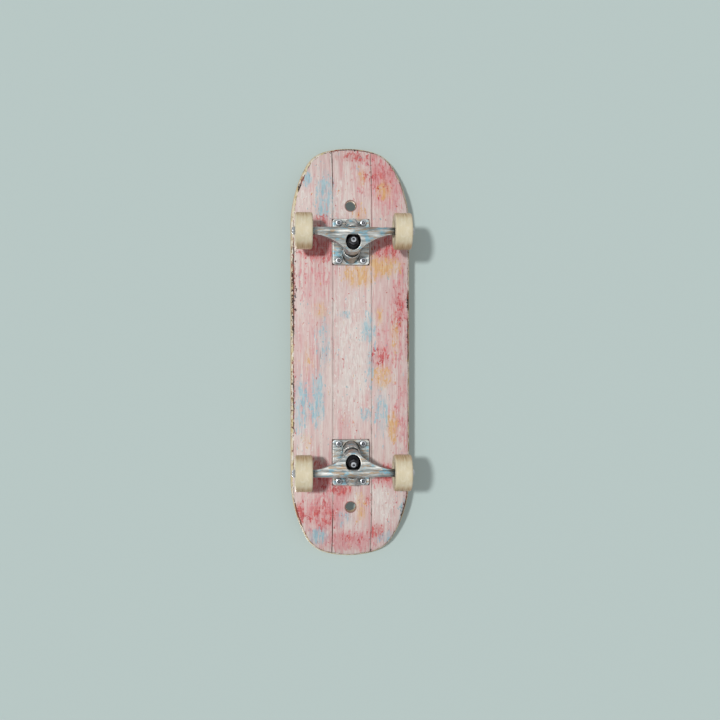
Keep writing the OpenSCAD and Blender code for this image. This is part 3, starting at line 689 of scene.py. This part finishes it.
def grip_tape():
    """Black silicon carbide grit with lighter grains, dusty and worn in patches."""
    s = Shader("grip_tape")
    grit = s.wire(s.add("ShaderNodeTexVoronoi"), Vector=s.scaled((1500, 1500, 1500)), Scale=1)
    grain = grit["Distance"]
    facet = s.split(grit["Color"])[0]
    worn = s.step(s.noise((16, 9, 1), 5, 0.65, 0.6), 0.46, 0.68)
    scuff = s.step(s.noise((120, 30, 1), 4, 0.7, 0.5), 0.58, 0.70)
    colour = s.mix(s.step(grain, 0.1, 0.7), "2a2a2c", "141416")
    colour = s.mix(s.step(facet, 0.88, 0.97, 0, 0.8), colour, "77777c")
    colour = s.mix(s.times(worn, 0.35), colour, "4a4744")
    colour = s.mix(s.times(scuff, 0.30), colour, "6b6660")
    s.set(Base_Color=colour, Roughness=s.step(facet, 0.5, 1.0, 0.92, 0.45))
    s.set(Normal=s.bump(s.math("ADD", grain, facet), 0.9, 0.25 * MM))
    return s.material


def cast_aluminium():
    """Tumbled aluminium: bright on its ridges from wear and a painted highlight, painted cyan reflections and
    warm stains, and painted shade in its corners and creases.
    """
    s = Shader("cast_aluminium")
    point = s.add("ShaderNodeNewGeometry").outputs["Pointiness"]
    cloud = s.noise((50, 80, 80), 5, 0.62, 0.5)
    brush = s.noise((30, 260, 260), 4, 0.6, 0.3)
    sand = s.noise((1300, 1300, 1300), 2)
    colour = s.mix(s.step(cloud, 0.35, 0.65), "7f8686", "a5a8a4")
    colour = s.mix(s.step(brush, 0.46, 0.64, 0, 0.75), colour, "d9d9d4")
    colour = s.mix(s.step(brush, 0.30, 0.46, 0.75, 0), colour, "565c5b")
    # Cyan patches: a painted reflection of a cool surrounding.
    colour = s.mix(s.step(s.noise((70, 130, 120), 4, 0.65, 0.4), 0.53, 0.60, 0, 0.75), colour, "6fa3b4")
    colour = s.mix(s.step(s.noise((46, 210, 170), 4, 0.65, 0.4), 0.54, 0.62, 0, 0.7), colour, "9a7a55")
    # Pale ridges: edge wear, and a painted highlight along every convex edge.
    ridge = s.times(s.step(point, 0.512, 0.545), s.step(cloud, 0.32, 0.5))
    colour = s.mix(s.times(ridge, 0.85), colour, "f4f2ec")
    # Painted shade, near black, in the corners, broken up by the cloud.
    hollow_shade = s.times(cloud, 0.45, s.open_air(14 * MM))
    colour = s.mix(s.step(hollow_shade, 0.62, 1.16, 0.95, 0), colour, "262220")
    # Painted shade, dark brown, along the creases.
    colour = s.mix(s.step(point, 0.462, 0.496, 0.9, 0), colour, "33261c")
    s.set(Base_Color=colour, Metallic=0.7, Roughness=s.step(brush, 0.3, 0.7, 0.32, 0.48))
    s.set(Normal=s.bump(s.times(sand, 0.5, s.math("ADD", cloud, brush)), 0.3, 0.3 * MM))
    return s.material


def steel(name, light, dark, roughness, metallic=0.95, rust=0.25):
    """Turned or plated steel with fine scratches and specks of tarnish."""
    s = Shader(name)
    cloud = s.noise((160, 160, 160), 4, 0.6, 0.4)
    scratch = s.noise((900, 240, 900), 3, 0.6)
    colour = s.mix(s.step(cloud, 0.35, 0.65), light, dark)
    colour = s.mix(s.step(s.noise((260, 260, 260), 4, 0.7), 0.60, 0.72, 0, rust), colour, "6b4a34")
    # Painted shade, near black, where the steel lies in a tight corner.
    colour = s.mix(s.step(s.open_air(5 * MM), 0.35, 0.9, 0.9, 0), colour, "1f1b18")
    s.set(Base_Color=colour, Metallic=metallic)
    s.set(Roughness=s.step(scratch, 0.3, 0.7, roughness, roughness + 0.16))
    s.set(Normal=s.bump(scratch, 0.15, 0.1 * MM))
    return s.material


def black_urethane():
    """Matt black urethane with a waxy bloom."""
    s = Shader("black_urethane")
    bloom = s.noise((240, 240, 240), 4, 0.65)
    s.set(Base_Color=s.mix(s.step(bloom, 0.4, 0.7), "17181a", "2c2e31"))
    s.set(Roughness=s.step(bloom, 0.35, 0.7, 0.38, 0.6), Normal=s.bump(bloom, 0.25, 0.2 * MM))
    return s.material


def wheel_urethane():
    """Aged ivory urethane, tanned and scuffed round the tread, with painted shade where the tread curves away
    towards ±Y and in the dish round the hub.
    """
    s = Shader("wheel_urethane")
    _, y, z = s.split(s.place)
    r = s.math("SQRT", s.math("ADD", s.times(y, y), s.times(z, z)))
    streak = s.noise((420, 30, 30), 5, 0.65, 0.2)
    fine = s.noise((1300, 60, 60), 3, 0.6)
    blotch = s.noise((110, 60, 60), 5, 0.65, 0.5)
    colour = s.mix(s.step(streak, 0.35, 0.65), "d8cdb1", "d3c6a6")
    colour = s.mix(s.step(blotch, 0.46, 0.66, 0, 0.7), colour, "e3dbc6")
    tread = s.step(r, WHEEL_R - 5 * MM, WHEEL_R - 1 * MM, 0.25, 1)
    # Towards ±Y, where the tread curves away, the tan and brown scuffs are also painted shade.
    curving_away_shade = s.step(s.math("ABSOLUTE", y), WHEEL_R * 0.35, WHEEL_R * 0.98)
    scuff = s.times(streak, 0.3, s.times(blotch, 0.3))
    scuff = s.times(curving_away_shade, 0.42, scuff)
    colour = s.mix(s.times(s.step(scuff, 0.42, 0.80, 0, 0.72), tread), colour, "bd9258")
    scrape_and_shade = s.times(s.step(curving_away_shade, 0.5, 1), s.step(streak, 0.46, 0.60, 0, 0.35))
    colour = s.mix(s.times(scrape_and_shade, tread), colour, "7d5c39")
    colour = s.mix(s.times(s.step(fine, 0.55, 0.75, 0, 0.18), tread), colour, "97804f")
    # Painted shade in the dish round the hub, broken up by blotches.
    hollow_shade = s.step(r, HUB_R - 1 * MM, DISH_R, 0.6, 0)
    colour = s.mix(s.times(hollow_shade, s.step(blotch, 0.3, 0.6)), colour, "8a7350")
    s.set(Base_Color=colour, Roughness=s.step(streak, 0.3, 0.7, 0.40, 0.58))
    s.set(Normal=s.bump(s.math("ADD", streak, fine), 0.12, 0.2 * MM))
    s.set(Subsurface_Weight=0.1, Subsurface_Radius=(2 * MM, 1.6 * MM, 1.1 * MM), Subsurface_Scale=1)
    return s.material


MATERIALS = {
    "painted_wood": painted_wood(),
    "maple_long": maple("maple_long", "dcc398", "c6a672"),
    "maple_cross": maple("maple_cross", "b38a5c", "8f6540", along=False),
    "maple_dyed": maple("maple_dyed", "6b4334", "4f3127"),
    "grip": grip_tape(),
    "cast_aluminium": cast_aluminium(),
    "dark_steel": steel("dark_steel", "3b3b3e", "262629", 0.34, 0.8),
    "bolt_steel": steel("bolt_steel", "6f7074", "515256", 0.34, 0.85),
    "plated_steel": steel("plated_steel", "c6c9cc", "a3a8ad", 0.26),
    "axle_steel": steel("axle_steel", "aeb2b6", "8b9095", 0.30),
    "bearing_steel": steel("bearing_steel", "c9cccf", "adb2b7", 0.20, rust=0.1),
    "cage_steel": steel("cage_steel", "b7b2a4", "96917f", 0.34),
    "black_urethane": black_urethane(),
    "wheel_urethane": wheel_urethane(),
}


def fit(piece, body, node, slot, material=None):
    """Gives a piece its material and its body, and hides the CAD node that it stands for."""
    piece.data.materials.clear()
    piece.data.materials.append(MATERIALS[material or slot])
    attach(piece, body)
    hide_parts(node)


# ---------- Deck ----------

# Patches of paint on the underside: middle x, middle y, half width, half length (mm), strength
# Rose and red patches round both trucks, at about y = ±180 and ±210 mm, lie where the trucks' shadows fall:
# red paint that is also painted shade, turning those shadows maroon.
ROSE_PAINT_AND_SHADE = [(-62, 285, 36, 55, 1), (-40, 328, 40, 14, 0.7), (62, 118, 40, 50, 0.55), (-84, 90, 18, 60, 0.8),
        (-62, 0, 34, 50, 0.6), (-84, -110, 18, 70, 0.7), (10, -125, 30, 30, 0.4), (46, -275, 44, 44, 0.9),
        (0, -322, 60, 22, 1), (18, -256, 20, 44, 0.8), (56, 182, 36, 34, 1), (-66, 180, 34, 34, 1),
        (56, -212, 40, 34, 1), (-66, -210, 34, 24, 1), (70, 20, 20, 80, 0.4), (-20, 300, 30, 50, 0.5)]
RED_PAINT_AND_SHADE = [(52, 222, 20, 12, 0.8), (-14, 334, 36, 10, 0.9), (-48, 300, 34, 34, 0.66), (-82, 75, 10, 55, 0.7),
       (15, -232, 24, 14, 0.95), (86, -276, 9, 24, 1), (48, -276, 32, 30, 0.75), (-46, -306, 14, 16, 0.85),
       (97, -62, 4, 48, 0.9), (-50, -10, 20, 20, 0.7), (56, 176, 34, 26, 0.85), (-60, 180, 28, 26, 0.75),
       (56, -210, 36, 28, 0.85), (-60, -206, 28, 18, 0.8), (-30, -252, 8, 10, 0.7), (10, -318, 40, 12, 0.5)]
OCHRE = [(-54, 146, 34, 22, 1), (-14, 130, 28, 24, 1), (-54, -42, 20, 24, 0.8), (-72, -128, 10, 30, 1),
         (-18, -265, 12, 30, 0.8), (-14, 228, 16, 26, 0.6), (52, 70, 16, 18, 0.7), (-48, 62, 8, 20, 0.8),
         (72, -10, 10, 30, 0.6), (-58, 276, 14, 20, 1), (-20, 298, 8, 20, 0.8), (-76, 30, 10, 50, 0.7),
         (76, -150, 12, 20, 0.5)]
BLUE = [(44, 262, 18, 56, 0.9), (73, 294, 8, 18, 1), (56, -80, 14, 52, 1), (84, -90, 14, 60, 0.9),
        (46, 20, 14, 50, 0.7), (-30, 40, 14, 34, 0.8), (10, 64, 12, 8, 0.8), (-24, -106, 11, 14, 0.9),
        (54, -314, 20, 18, 1), (-66, -318, 26, 14, 0.7), (-52, -100, 14, 50, 0.8), (12, -284, 18, 18, 0.6),
        (-90, -280, 8, 36, 0.7), (-34, -20, 10, 50, 0.7), (76, 100, 14, 30, 0.3)]
WHITE = [(-4, -10, 36, 130, 0.9), (-56, -255, 26, 44, 0.9), (20, 260, 30, 50, 0.6),
         (-12, -250, 14, 14, 0.7), (80, -160, 16, 60, 0.7), (20, 80, 24, 60, 0.6), (76, 262, 16, 40, 0.8),
         (64, 40, 30, 60, 0.4)]
# Stretches of the rim where the paint is chipped most
CHIPPED = [(98, 105, 14, 80, 1), (98, -80, 14, 60, 0.6), (-98, 88, 10, 16, 0.9), (-98, 20, 10, 40, 0.6),
           (82, 286, 10, 16, 0.8), (-92, -265, 12, 30, 0.7), (90, -275, 12, 26, 0.8), (0, 346, 60, 6, 0.5)]


def patch_field(patches, x, y):
    """Strength of the strongest patch at a point (mm). A patch fades out at 1.5 times its half size."""
    strongest = 0.0
    for px, py, rx, ry, strength in patches:
        away = math.hypot((x - px) / rx, (y - py) / ry)
        strongest = max(strongest, strength * smoothstep(1.5, 0.3, away))
    return strongest


def lay_patches(mesh):
    """Writes the paint patches on a mesh as two point attributes, which the paint reads."""
    for name, groups in (("warm", (ROSE_PAINT_AND_SHADE, RED_PAINT_AND_SHADE, OCHRE)), ("cool", (BLUE, WHITE, CHIPPED))):
        values = [[patch_field(group, v.co.x / MM, v.co.y / MM) for group in groups] for v in mesh.vertices]
        layer = mesh.attributes.new(name, "FLOAT_VECTOR", "POINT")
        layer.data.foreach_set("vector", np.array(values, np.float32).ravel())


def cut_strip(bm, low_x, high_x):
    """A copy of the bottom ply between two offsets, closed along its cuts."""
    strip = bm.copy()
    for x, out in ((low_x, -1), (high_x, 1)):
        if abs(x) < HALF_W:
            geometry = strip.verts[:] + strip.edges[:] + strip.faces[:]
            cut = bmesh.ops.bisect_plane(strip, geom=geometry, plane_co=(x, 0, 0), plane_no=(out, 0, 0),
                                         clear_outer=True)
            rim_edges = [e for e in cut["geom_cut"] if isinstance(e, bmesh.types.BMEdge)]
            bmesh.ops.triangle_fill(strip, use_beauty=True, edges=rim_edges, normal=(out, 0, 0))
    return strip


def build_deck():
    bottom = deck_layer(0, PLY_T, 5 * MM, chips=chip_depth(3.1, 1.6 * MM), seams=True, steps=8)
    gap = SEAM_W / 2
    strips = {"bottom_strip_left": (SEAMS_X[0] + gap, HALF_W * 2),
              "bottom_strip_centre": (SEAMS_X[1] + gap, SEAMS_X[0] - gap),
              "bottom_strip_right": (-HALF_W * 2, SEAMS_X[1] - gap)}
    for name, (low_x, high_x) in strips.items():
        piece = finish_mesh("painted_" + name, cut_strip(bottom, low_x, high_x))
        lay_patches(piece.data)
        fit(piece, "board", name, "painted_wood")
    bottom.free()
    for number in range(2, PLY_COUNT + 1):
        node = "top_ply" if number == PLY_COUNT else f"ply_{number}"
        wear = chip_depth(number * 2.3, (0.5 if number in (2, PLY_COUNT) else 0.2) * MM)
        bm = deck_layer((number - 1) * PLY_T, number * PLY_T, 16 * MM, chips=wear)
        material = {3: "maple_cross", 4: "maple_dyed", 5: "maple_cross"}.get(number, "maple_long")
        fit(finish_mesh("veneer_" + node, bm), "board", node, "maple", material)
    frayed = chip_depth(21.0, 0.5 * MM, 60)
    grip = deck_layer(DECK_T, DECK_T + GRIP_T, 12 * MM, margin=GRIP_MARGIN, chips=frayed, steps=2)
    fit(finish_mesh("gritty_grip_tape", grip), "board", "grip_tape", "grip")


# ---------- Trucks ----------

def casting(node, smooth_passes):
    """A cast form of a CAD solid: the same body with soft fillets and a skin of its own."""
    bm = bmesh.new()
    bm.from_mesh(frame["nodes"][node].data)
    bmesh.ops.remove_doubles(bm, verts=bm.verts, dist=1e-6)
    made = finish_mesh("work_" + node, bm)
    remesh = made.modifiers.new("skin", "REMESH")
    remesh.mode = "VOXEL"
    remesh.voxel_size = CASTING_VOXEL
    smooth = made.modifiers.new("fillets", "SMOOTH")
    smooth.factor = 0.5
    smooth.iterations = smooth_passes
    mesh = bpy.data.meshes.new_from_object(made.evaluated_get(bpy.context.evaluated_depsgraph_get()))
    bpy.data.objects.remove(made)
    mesh.shade_smooth()
    return mesh


def place_casting(name, mesh, end):
    """One truck's copy of a casting made at the front truck."""
    mesh = mesh.copy()
    mesh.name = name
    if end < 0:
        mesh.transform(Matrix.Rotation(math.pi, 4, "Z"))
    return link_object(name, mesh)


def truck_bolt_profile():
    """Countersunk bolt from its threaded end up to its head."""
    end_z = DECK_Z - PLATE_T - BOLT_NUT_H - BOLT_TAIL
    head_z = TOP_Z - BOLT_HEAD_H
    plain_z = DECK_Z - PLATE_T
    return ([(end_z, 0), (end_z, BOLT_R - 0.7 * MM)] + thread(end_z + 0.5 * MM, plain_z, BOLT_R, 0.8 * MM)
            + [(plain_z + 0.1 * MM, BOLT_R), (head_z, BOLT_R), (TOP_Z - 0.25 * MM, BOLT_HEAD_R - 0.1 * MM),
               (TOP_Z - 0.1 * MM, BOLT_HEAD_R - 0.1 * MM), (TOP_Z - 0.02 * MM, BOLT_HEAD_R - 0.4 * MM),
               (TOP_Z - 0.02 * MM, 1.9 * MM), (TOP_Z - 1.8 * MM, 1.7 * MM), (TOP_Z - 2.1 * MM, 0)])


def lock_nut(bm, across_flats, height, bore_r, place):
    """A hexagonal nut with the round collar of its locking ring."""
    hex_h = height * 0.78
    add_hexagon(bm, across_flats, hex_h, bore_r, place)
    collar = across_flats / 2 * 0.86
    round_r = 0.6 * MM
    profile = [(hex_h * 0.9, bore_r), (hex_h * 0.9, collar)]
    profile += arc((height - round_r, collar - round_r), round_r, 90, 0)
    profile += [(height, bore_r + 0.6 * MM), (height - 0.5 * MM, bore_r)]
    add_lathe(bm, profile, place, 72)


def turned_end(end_z, r, inward):
    """Chamfered, threaded end of a pin. inward is 1 where its body lies above the end, and -1 below it."""
    start, stop = (end_z + inward * reach for reach in (0.5 * MM, 7 * MM))
    return [(end_z, 0), (end_z, r - 0.9 * MM)] + thread(start, stop, r)


def add_bushing(name, profile, end, node):
    """A urethane bushing on the kingpin."""
    bm = bmesh.new()
    place = along_kingpin(end)
    add_lathe(bm, profile, place, 64)
    bushing = finish_mesh(name, bm)
    fit(bushing, "board", node, "black_urethane")
    joint = node.split("_")[0] + "_truck_lean"
    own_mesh(bushing)


def add_bushings(name, end):
    soft = 1 * MM
    waist = 0.4 * MM
    barrel_end = WEB_HALF + BOARDSIDE_H
    barrel = [(WEB_HALF, BUSHING_BORE_R)] + arc((WEB_HALF + soft, BUSHING_R - soft), soft, 180, 90)
    barrel += [((WEB_HALF + barrel_end) / 2, BUSHING_R - waist)]
    barrel += arc((barrel_end - soft, BUSHING_R - soft), soft, 90, 0) + [(barrel_end, BUSHING_BORE_R)]
    add_bushing(f"{name}_barrel_bushing", barrel, end, f"{name}_boardside_bushing")
    cone_end = -WEB_HALF - ROADSIDE_H
    cone = [(-WEB_HALF, BUSHING_BORE_R)] + arc((-WEB_HALF - soft, BUSHING_R - soft), soft, 0, 90)
    cone += arc((cone_end + soft, ROADSIDE_TIP_R - soft), soft, 90, 180) + [(cone_end, BUSHING_BORE_R)]
    add_bushing(f"{name}_cone_bushing", cone, end, f"{name}_roadside_bushing")


def head_seat_z():
    """Where the kingpin's head sits, from the middle of the ring towards the deck."""
    lean = math.radians(KINGPIN_LEAN)
    deck_on_kingpin = (DECK_Z - AXLE_Z - RING_RISE) / math.cos(lean)
    head_r = KINGPIN_AF / 2 / math.cos(math.radians(30))
    return deck_on_kingpin - head_r * math.tan(lean) - KINGPIN_HEAD_GAP - KINGPIN_HEAD_H


def add_kingpin(name, end):
    """The bolt, with a drilled end, and its nut."""
    kingpin = along_kingpin(end)
    nut_top = -WEB_HALF - ROADSIDE_H - WASHER_T
    end_z = nut_top - KINGPIN_NUT_H - KINGPIN_TAIL
    head_seat = head_seat_z()
    dimple = [(end_z + 2.6 * MM, 0), (end_z + 2.4 * MM, 2 * MM), (end_z, 2.3 * MM)]
    shank = turned_end(end_z, KINGPIN_R, 1)[1:]
    shank += [(nut_top, KINGPIN_R), (head_seat, KINGPIN_R), (head_seat, 0)]
    bolt = bmesh.new()
    add_lathe(bolt, dimple + shank, kingpin, 48)
    add_hexagon(bolt, KINGPIN_AF, KINGPIN_HEAD_H, 1 * MM, kingpin @ Matrix.Translation((0, 0, head_seat)))
    fit(finish_mesh(f"{name}_kingpin_bolt", bolt), "board", f"{name}_kingpin", "axle_steel", "plated_steel")
    nut = bmesh.new()
    seat = kingpin @ Matrix.Translation((0, 0, nut_top)) @ Matrix.Rotation(math.pi, 4, "X")
    lock_nut(nut, KINGPIN_AF, KINGPIN_NUT_H, KINGPIN_R, seat)
    fit(finish_mesh(f"{name}_kingpin_lock_nut", nut), "board", f"{name}_kingpin_nut", "dark_steel")


def add_deck_bolts(name, end):
    bolts, nuts = bmesh.new(), bmesh.new()
    for i, place in enumerate(bolt_places(end)):
        add_lathe(bolts, truck_bolt_profile(), Matrix.Translation(place), 36)
        seat = Matrix.Translation((place.x, place.y, DECK_Z - PLATE_T)) @ Matrix.Rotation(math.pi, 4, "X")
        lock_nut(nuts, BOLT_NUT_AF, BOLT_NUT_H, BOLT_R, seat @ Matrix.Rotation(i * 0.7 + end, 4, "Z"))
    fit(finish_mesh(f"{name}_deck_bolts", bolts), "board", f"{name}_truck_bolts", "dark_steel", "bolt_steel")
    fit(finish_mesh(f"{name}_deck_nuts", nuts), "board", f"{name}_truck_nuts", "plated_steel")


def add_axle(name, end, body):
    """The axle with its two threaded ends, and its nuts."""
    rod, nuts = bmesh.new(), bmesh.new()
    along = at_truck(end) @ Matrix.Translation((0, 0, AXLE_Z)) @ Matrix.Rotation(math.pi / 2, 4, "Y")
    left, right = turned_end(-AXLE_END_X, AXLE_R, 1), turned_end(AXLE_END_X, AXLE_R, -1)
    plain = AXLE_END_X - 7.5 * MM
    add_lathe(rod, left + [(-plain, AXLE_R), (plain, AXLE_R)] + right[::-1], along, 48)
    fit(finish_mesh(f"{name}_axle_rod", rod), body, f"{name}_axle", "axle_steel")
    nut_x = AXLE_END_X - AXLE_TAIL - AXLE_NUT_H
    for side in SIDES.values():
        seat = along_axle(end, side) @ Matrix.Translation((0, 0, nut_x))
        lock_nut(nuts, AXLE_NUT_AF, AXLE_NUT_H, AXLE_R, seat @ Matrix.Rotation(side * 0.4, 4, "Z"))
    fit(finish_mesh(f"{name}_axle_lock_nuts", nuts), body, f"{name}_axle_nuts", "plated_steel")


def build_truck(name, end, hanger_mesh, plate_mesh):
    hanger_body = f"{name}_hanger_set"
    for node, mesh, body in (("hanger", hanger_mesh, hanger_body), ("baseplate", plate_mesh, "board")):
        fit(place_casting(f"{name}_cast_{node}", mesh, end), body, f"{name}_{node}", "cast_aluminium")
    add_deck_bolts(name, end)
    add_kingpin(name, end)
    add_bushings(name, end)
    add_axle(name, end, hanger_body)


# ---------- Wheels ----------

def wheel_profile():
    """Half section of a wheel, from one bearing seat round the tread to the other."""
    half = WHEEL_W / 2
    dish = half - DISH_DEPTH
    seat = dish - BEARING_W
    ridge = 0.25 * MM
    lip = 0.8 * MM
    edge = WHEEL_EDGE_R
    face = [(seat, WHEEL_BORE_R), (seat, BEARING_R), (dish, BEARING_R), (dish + ridge, BEARING_R + ridge),
            (dish + ridge, HUB_R - 0.6 * MM), (dish, HUB_R), (dish + 0.3 * MM, HUB_R + 1.2 * MM)]
    face += arc((half - lip, DISH_R + lip), lip, -60, 0, 4)
    face += [(half, DISH_R + 3 * MM), (half, WHEEL_R - edge - 1 * MM)]
    face += arc((half - edge, WHEEL_R - edge), edge, 0, 90, 8)
    tread = [(half * t, WHEEL_R) for t in (0.6, 0.4, 0.2, 0)]
    one_side = face + tread
    return one_side + [(-h, r) for h, r in reversed(one_side[:-1])]


def build_wheel(name, end, side):
    bm = bmesh.new()
    add_lathe(bm, wheel_profile(), Matrix.Rotation(math.pi / 2, 4, "Y"), 160)
    for v in bm.verts:
        wobble = noise.noise(v.co * 220 + Vector((end * 5, side * 9, 0)))
        r = math.hypot(v.co.y, v.co.z)
        if r > HUB_R:
            v.co -= Vector((0, v.co.y, v.co.z)) / r * 0.12 * MM * (1 + wobble)
    piece = finish_mesh(f"{name}_urethane", bm)
    piece.location = (side * WHEEL_X, end * AXLE_Y, AXLE_Z)
    fit(piece, f"{name}_wheel_set", f"{name}_wheel", "wheel_urethane")


# ---------- CAD nodes that keep their own shape ----------

KEPT = {"pivot_cup": "black_urethane", "boardside_washer": "plated_steel", "roadside_washer": "dark_steel",
        "speed_washers": "plated_steel", "bearing_spacers": "plated_steel", "cages": "cage_steel",
        "bearing_inner_rings": "bearing_steel", "outer_rings": "bearing_steel", "balls": "bearing_steel"}


def dress_kept_nodes():
    for node, piece in frame["nodes"].items():
        for ending, material in KEPT.items():
            if node.endswith(ending):
                for slot in piece.material_slots:
                    slot.material = MATERIALS[material]


# ---------- Stage ----------

def one_sided(name, code, glow):
    """A plain surface seen only from its front. Its glow keeps the shadows on it from going black."""
    s = Shader(name)
    s.set(Base_Color=code, Roughness=0.9, Emission_Color=code, Emission_Strength=glow)
    behind = s.add("ShaderNodeBsdfTransparent")
    choose = s.add("ShaderNodeMixShader")
    s.feed(choose.inputs[0], s.add("ShaderNodeNewGeometry").outputs["Backfacing"])
    s.feed(choose.inputs[1], s.bsdf.outputs["BSDF"])
    s.feed(choose.inputs[2], behind.outputs["BSDF"])
    s.wire(s.tree.nodes["Material Output"], Surface=choose.outputs["Shader"])
    return s.material


def build_plane(name, z, half, facing, material):
    """A stage plane that only the camera sees, facing up or down."""
    bm = bmesh.new()
    corners = [bm.verts.new((sx * half, sy * half, z)) for sx, sy in ((-1, -1), (1, -1), (1, 1), (-1, 1))]
    bm.faces.new(corners if facing > 0 else corners[::-1])
    mesh = bpy.data.meshes.new(name)
    bm.to_mesh(mesh)
    bm.free()
    plane = link_object(name, mesh)
    mesh.materials.append(material)
    for kind in ("diffuse", "glossy", "transmission", "shadow", "volume_scatter"):
        setattr(plane, f"visible_{kind}", False)


def add_sun(name, towards, strength, angle):
    light = bpy.data.lights.new(name, "SUN")
    light.energy = strength
    light.angle = math.radians(angle)
    lamp = link_object(name, light)
    lamp.rotation_euler = Vector(towards).to_track_quat("Z", "Y").to_euler()


def build_world():
    """A pale studio all round, which lights the board less from the height of the horizon."""
    world = bpy.data.worlds.new("studio")
    s = Nodes(world)
    height = s.math("ABSOLUTE", s.split(s.add("ShaderNodeTexCoord").outputs["Generated"])["Z"])
    light = s.step(height, 0.1, 1, 0.16, 0.5)
    rays = s.add("ShaderNodeLightPath").outputs
    seen = s.math("MAXIMUM", rays["Is Camera Ray"], rays["Is Glossy Ray"])
    seen = s.math("MAXIMUM", seen, rays["Is Transmission Ray"])
    strength = s.math("MINIMUM", s.times(seen, SKY, light), 1)
    s.wire(s.tree.nodes["Background"], Color="fbfdff", Strength=strength)
    bpy.context.scene.world = world


def build_stage():
    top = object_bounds()[1].z
    build_plane("floor", -0.2 * MM, 40, 1, one_sided("floor_paint", "dfe2e1", 0.1))
    build_plane("backdrop", top + 1.5 * MM, 1.2, -1, one_sided("backdrop_paint", "a9b7b4", 0.2))
    add_sun("key_from_below", (0.4, 0.13, -1), 2.07, 5)
    add_sun("key_from_above", (0.5, -0.6, 1.1), 2.0, 12)
    build_world()
    bpy.context.scene.view_settings.view_transform = "Standard"


def build_camera():
    """Looks up at the underside, from a little to +X, with the nose at the top of the picture."""
    sensor_w = 36
    lens = 62
    frame_w = 1.217
    aim = Vector((-0.0159, -0.0132, DECK_Z))
    data = bpy.data.cameras.new("camera")
    data.lens = lens
    camera = link_object("camera", data)
    camera.location = (0.165, 0, DECK_Z - frame_w * lens / sensor_w)
    forward = (aim - camera.location).normalized()
    right = forward.cross(Vector((0, 1, 0))).normalized()
    up = right.cross(forward)
    camera.rotation_euler = Matrix((right, up, -forward)).transposed().to_euler()
    bpy.context.scene.camera = camera


build_deck()
cast_hanger = casting("front_hanger", 6)
cast_plate = casting("front_baseplate", 4)
for truck, direction in ENDS.items():
    build_truck(truck, direction, cast_hanger, cast_plate)
    for side, sign in SIDES.items():
        build_wheel(f"{truck}_{side}", direction, sign)
dress_kept_nodes()
build_stage()
build_camera()
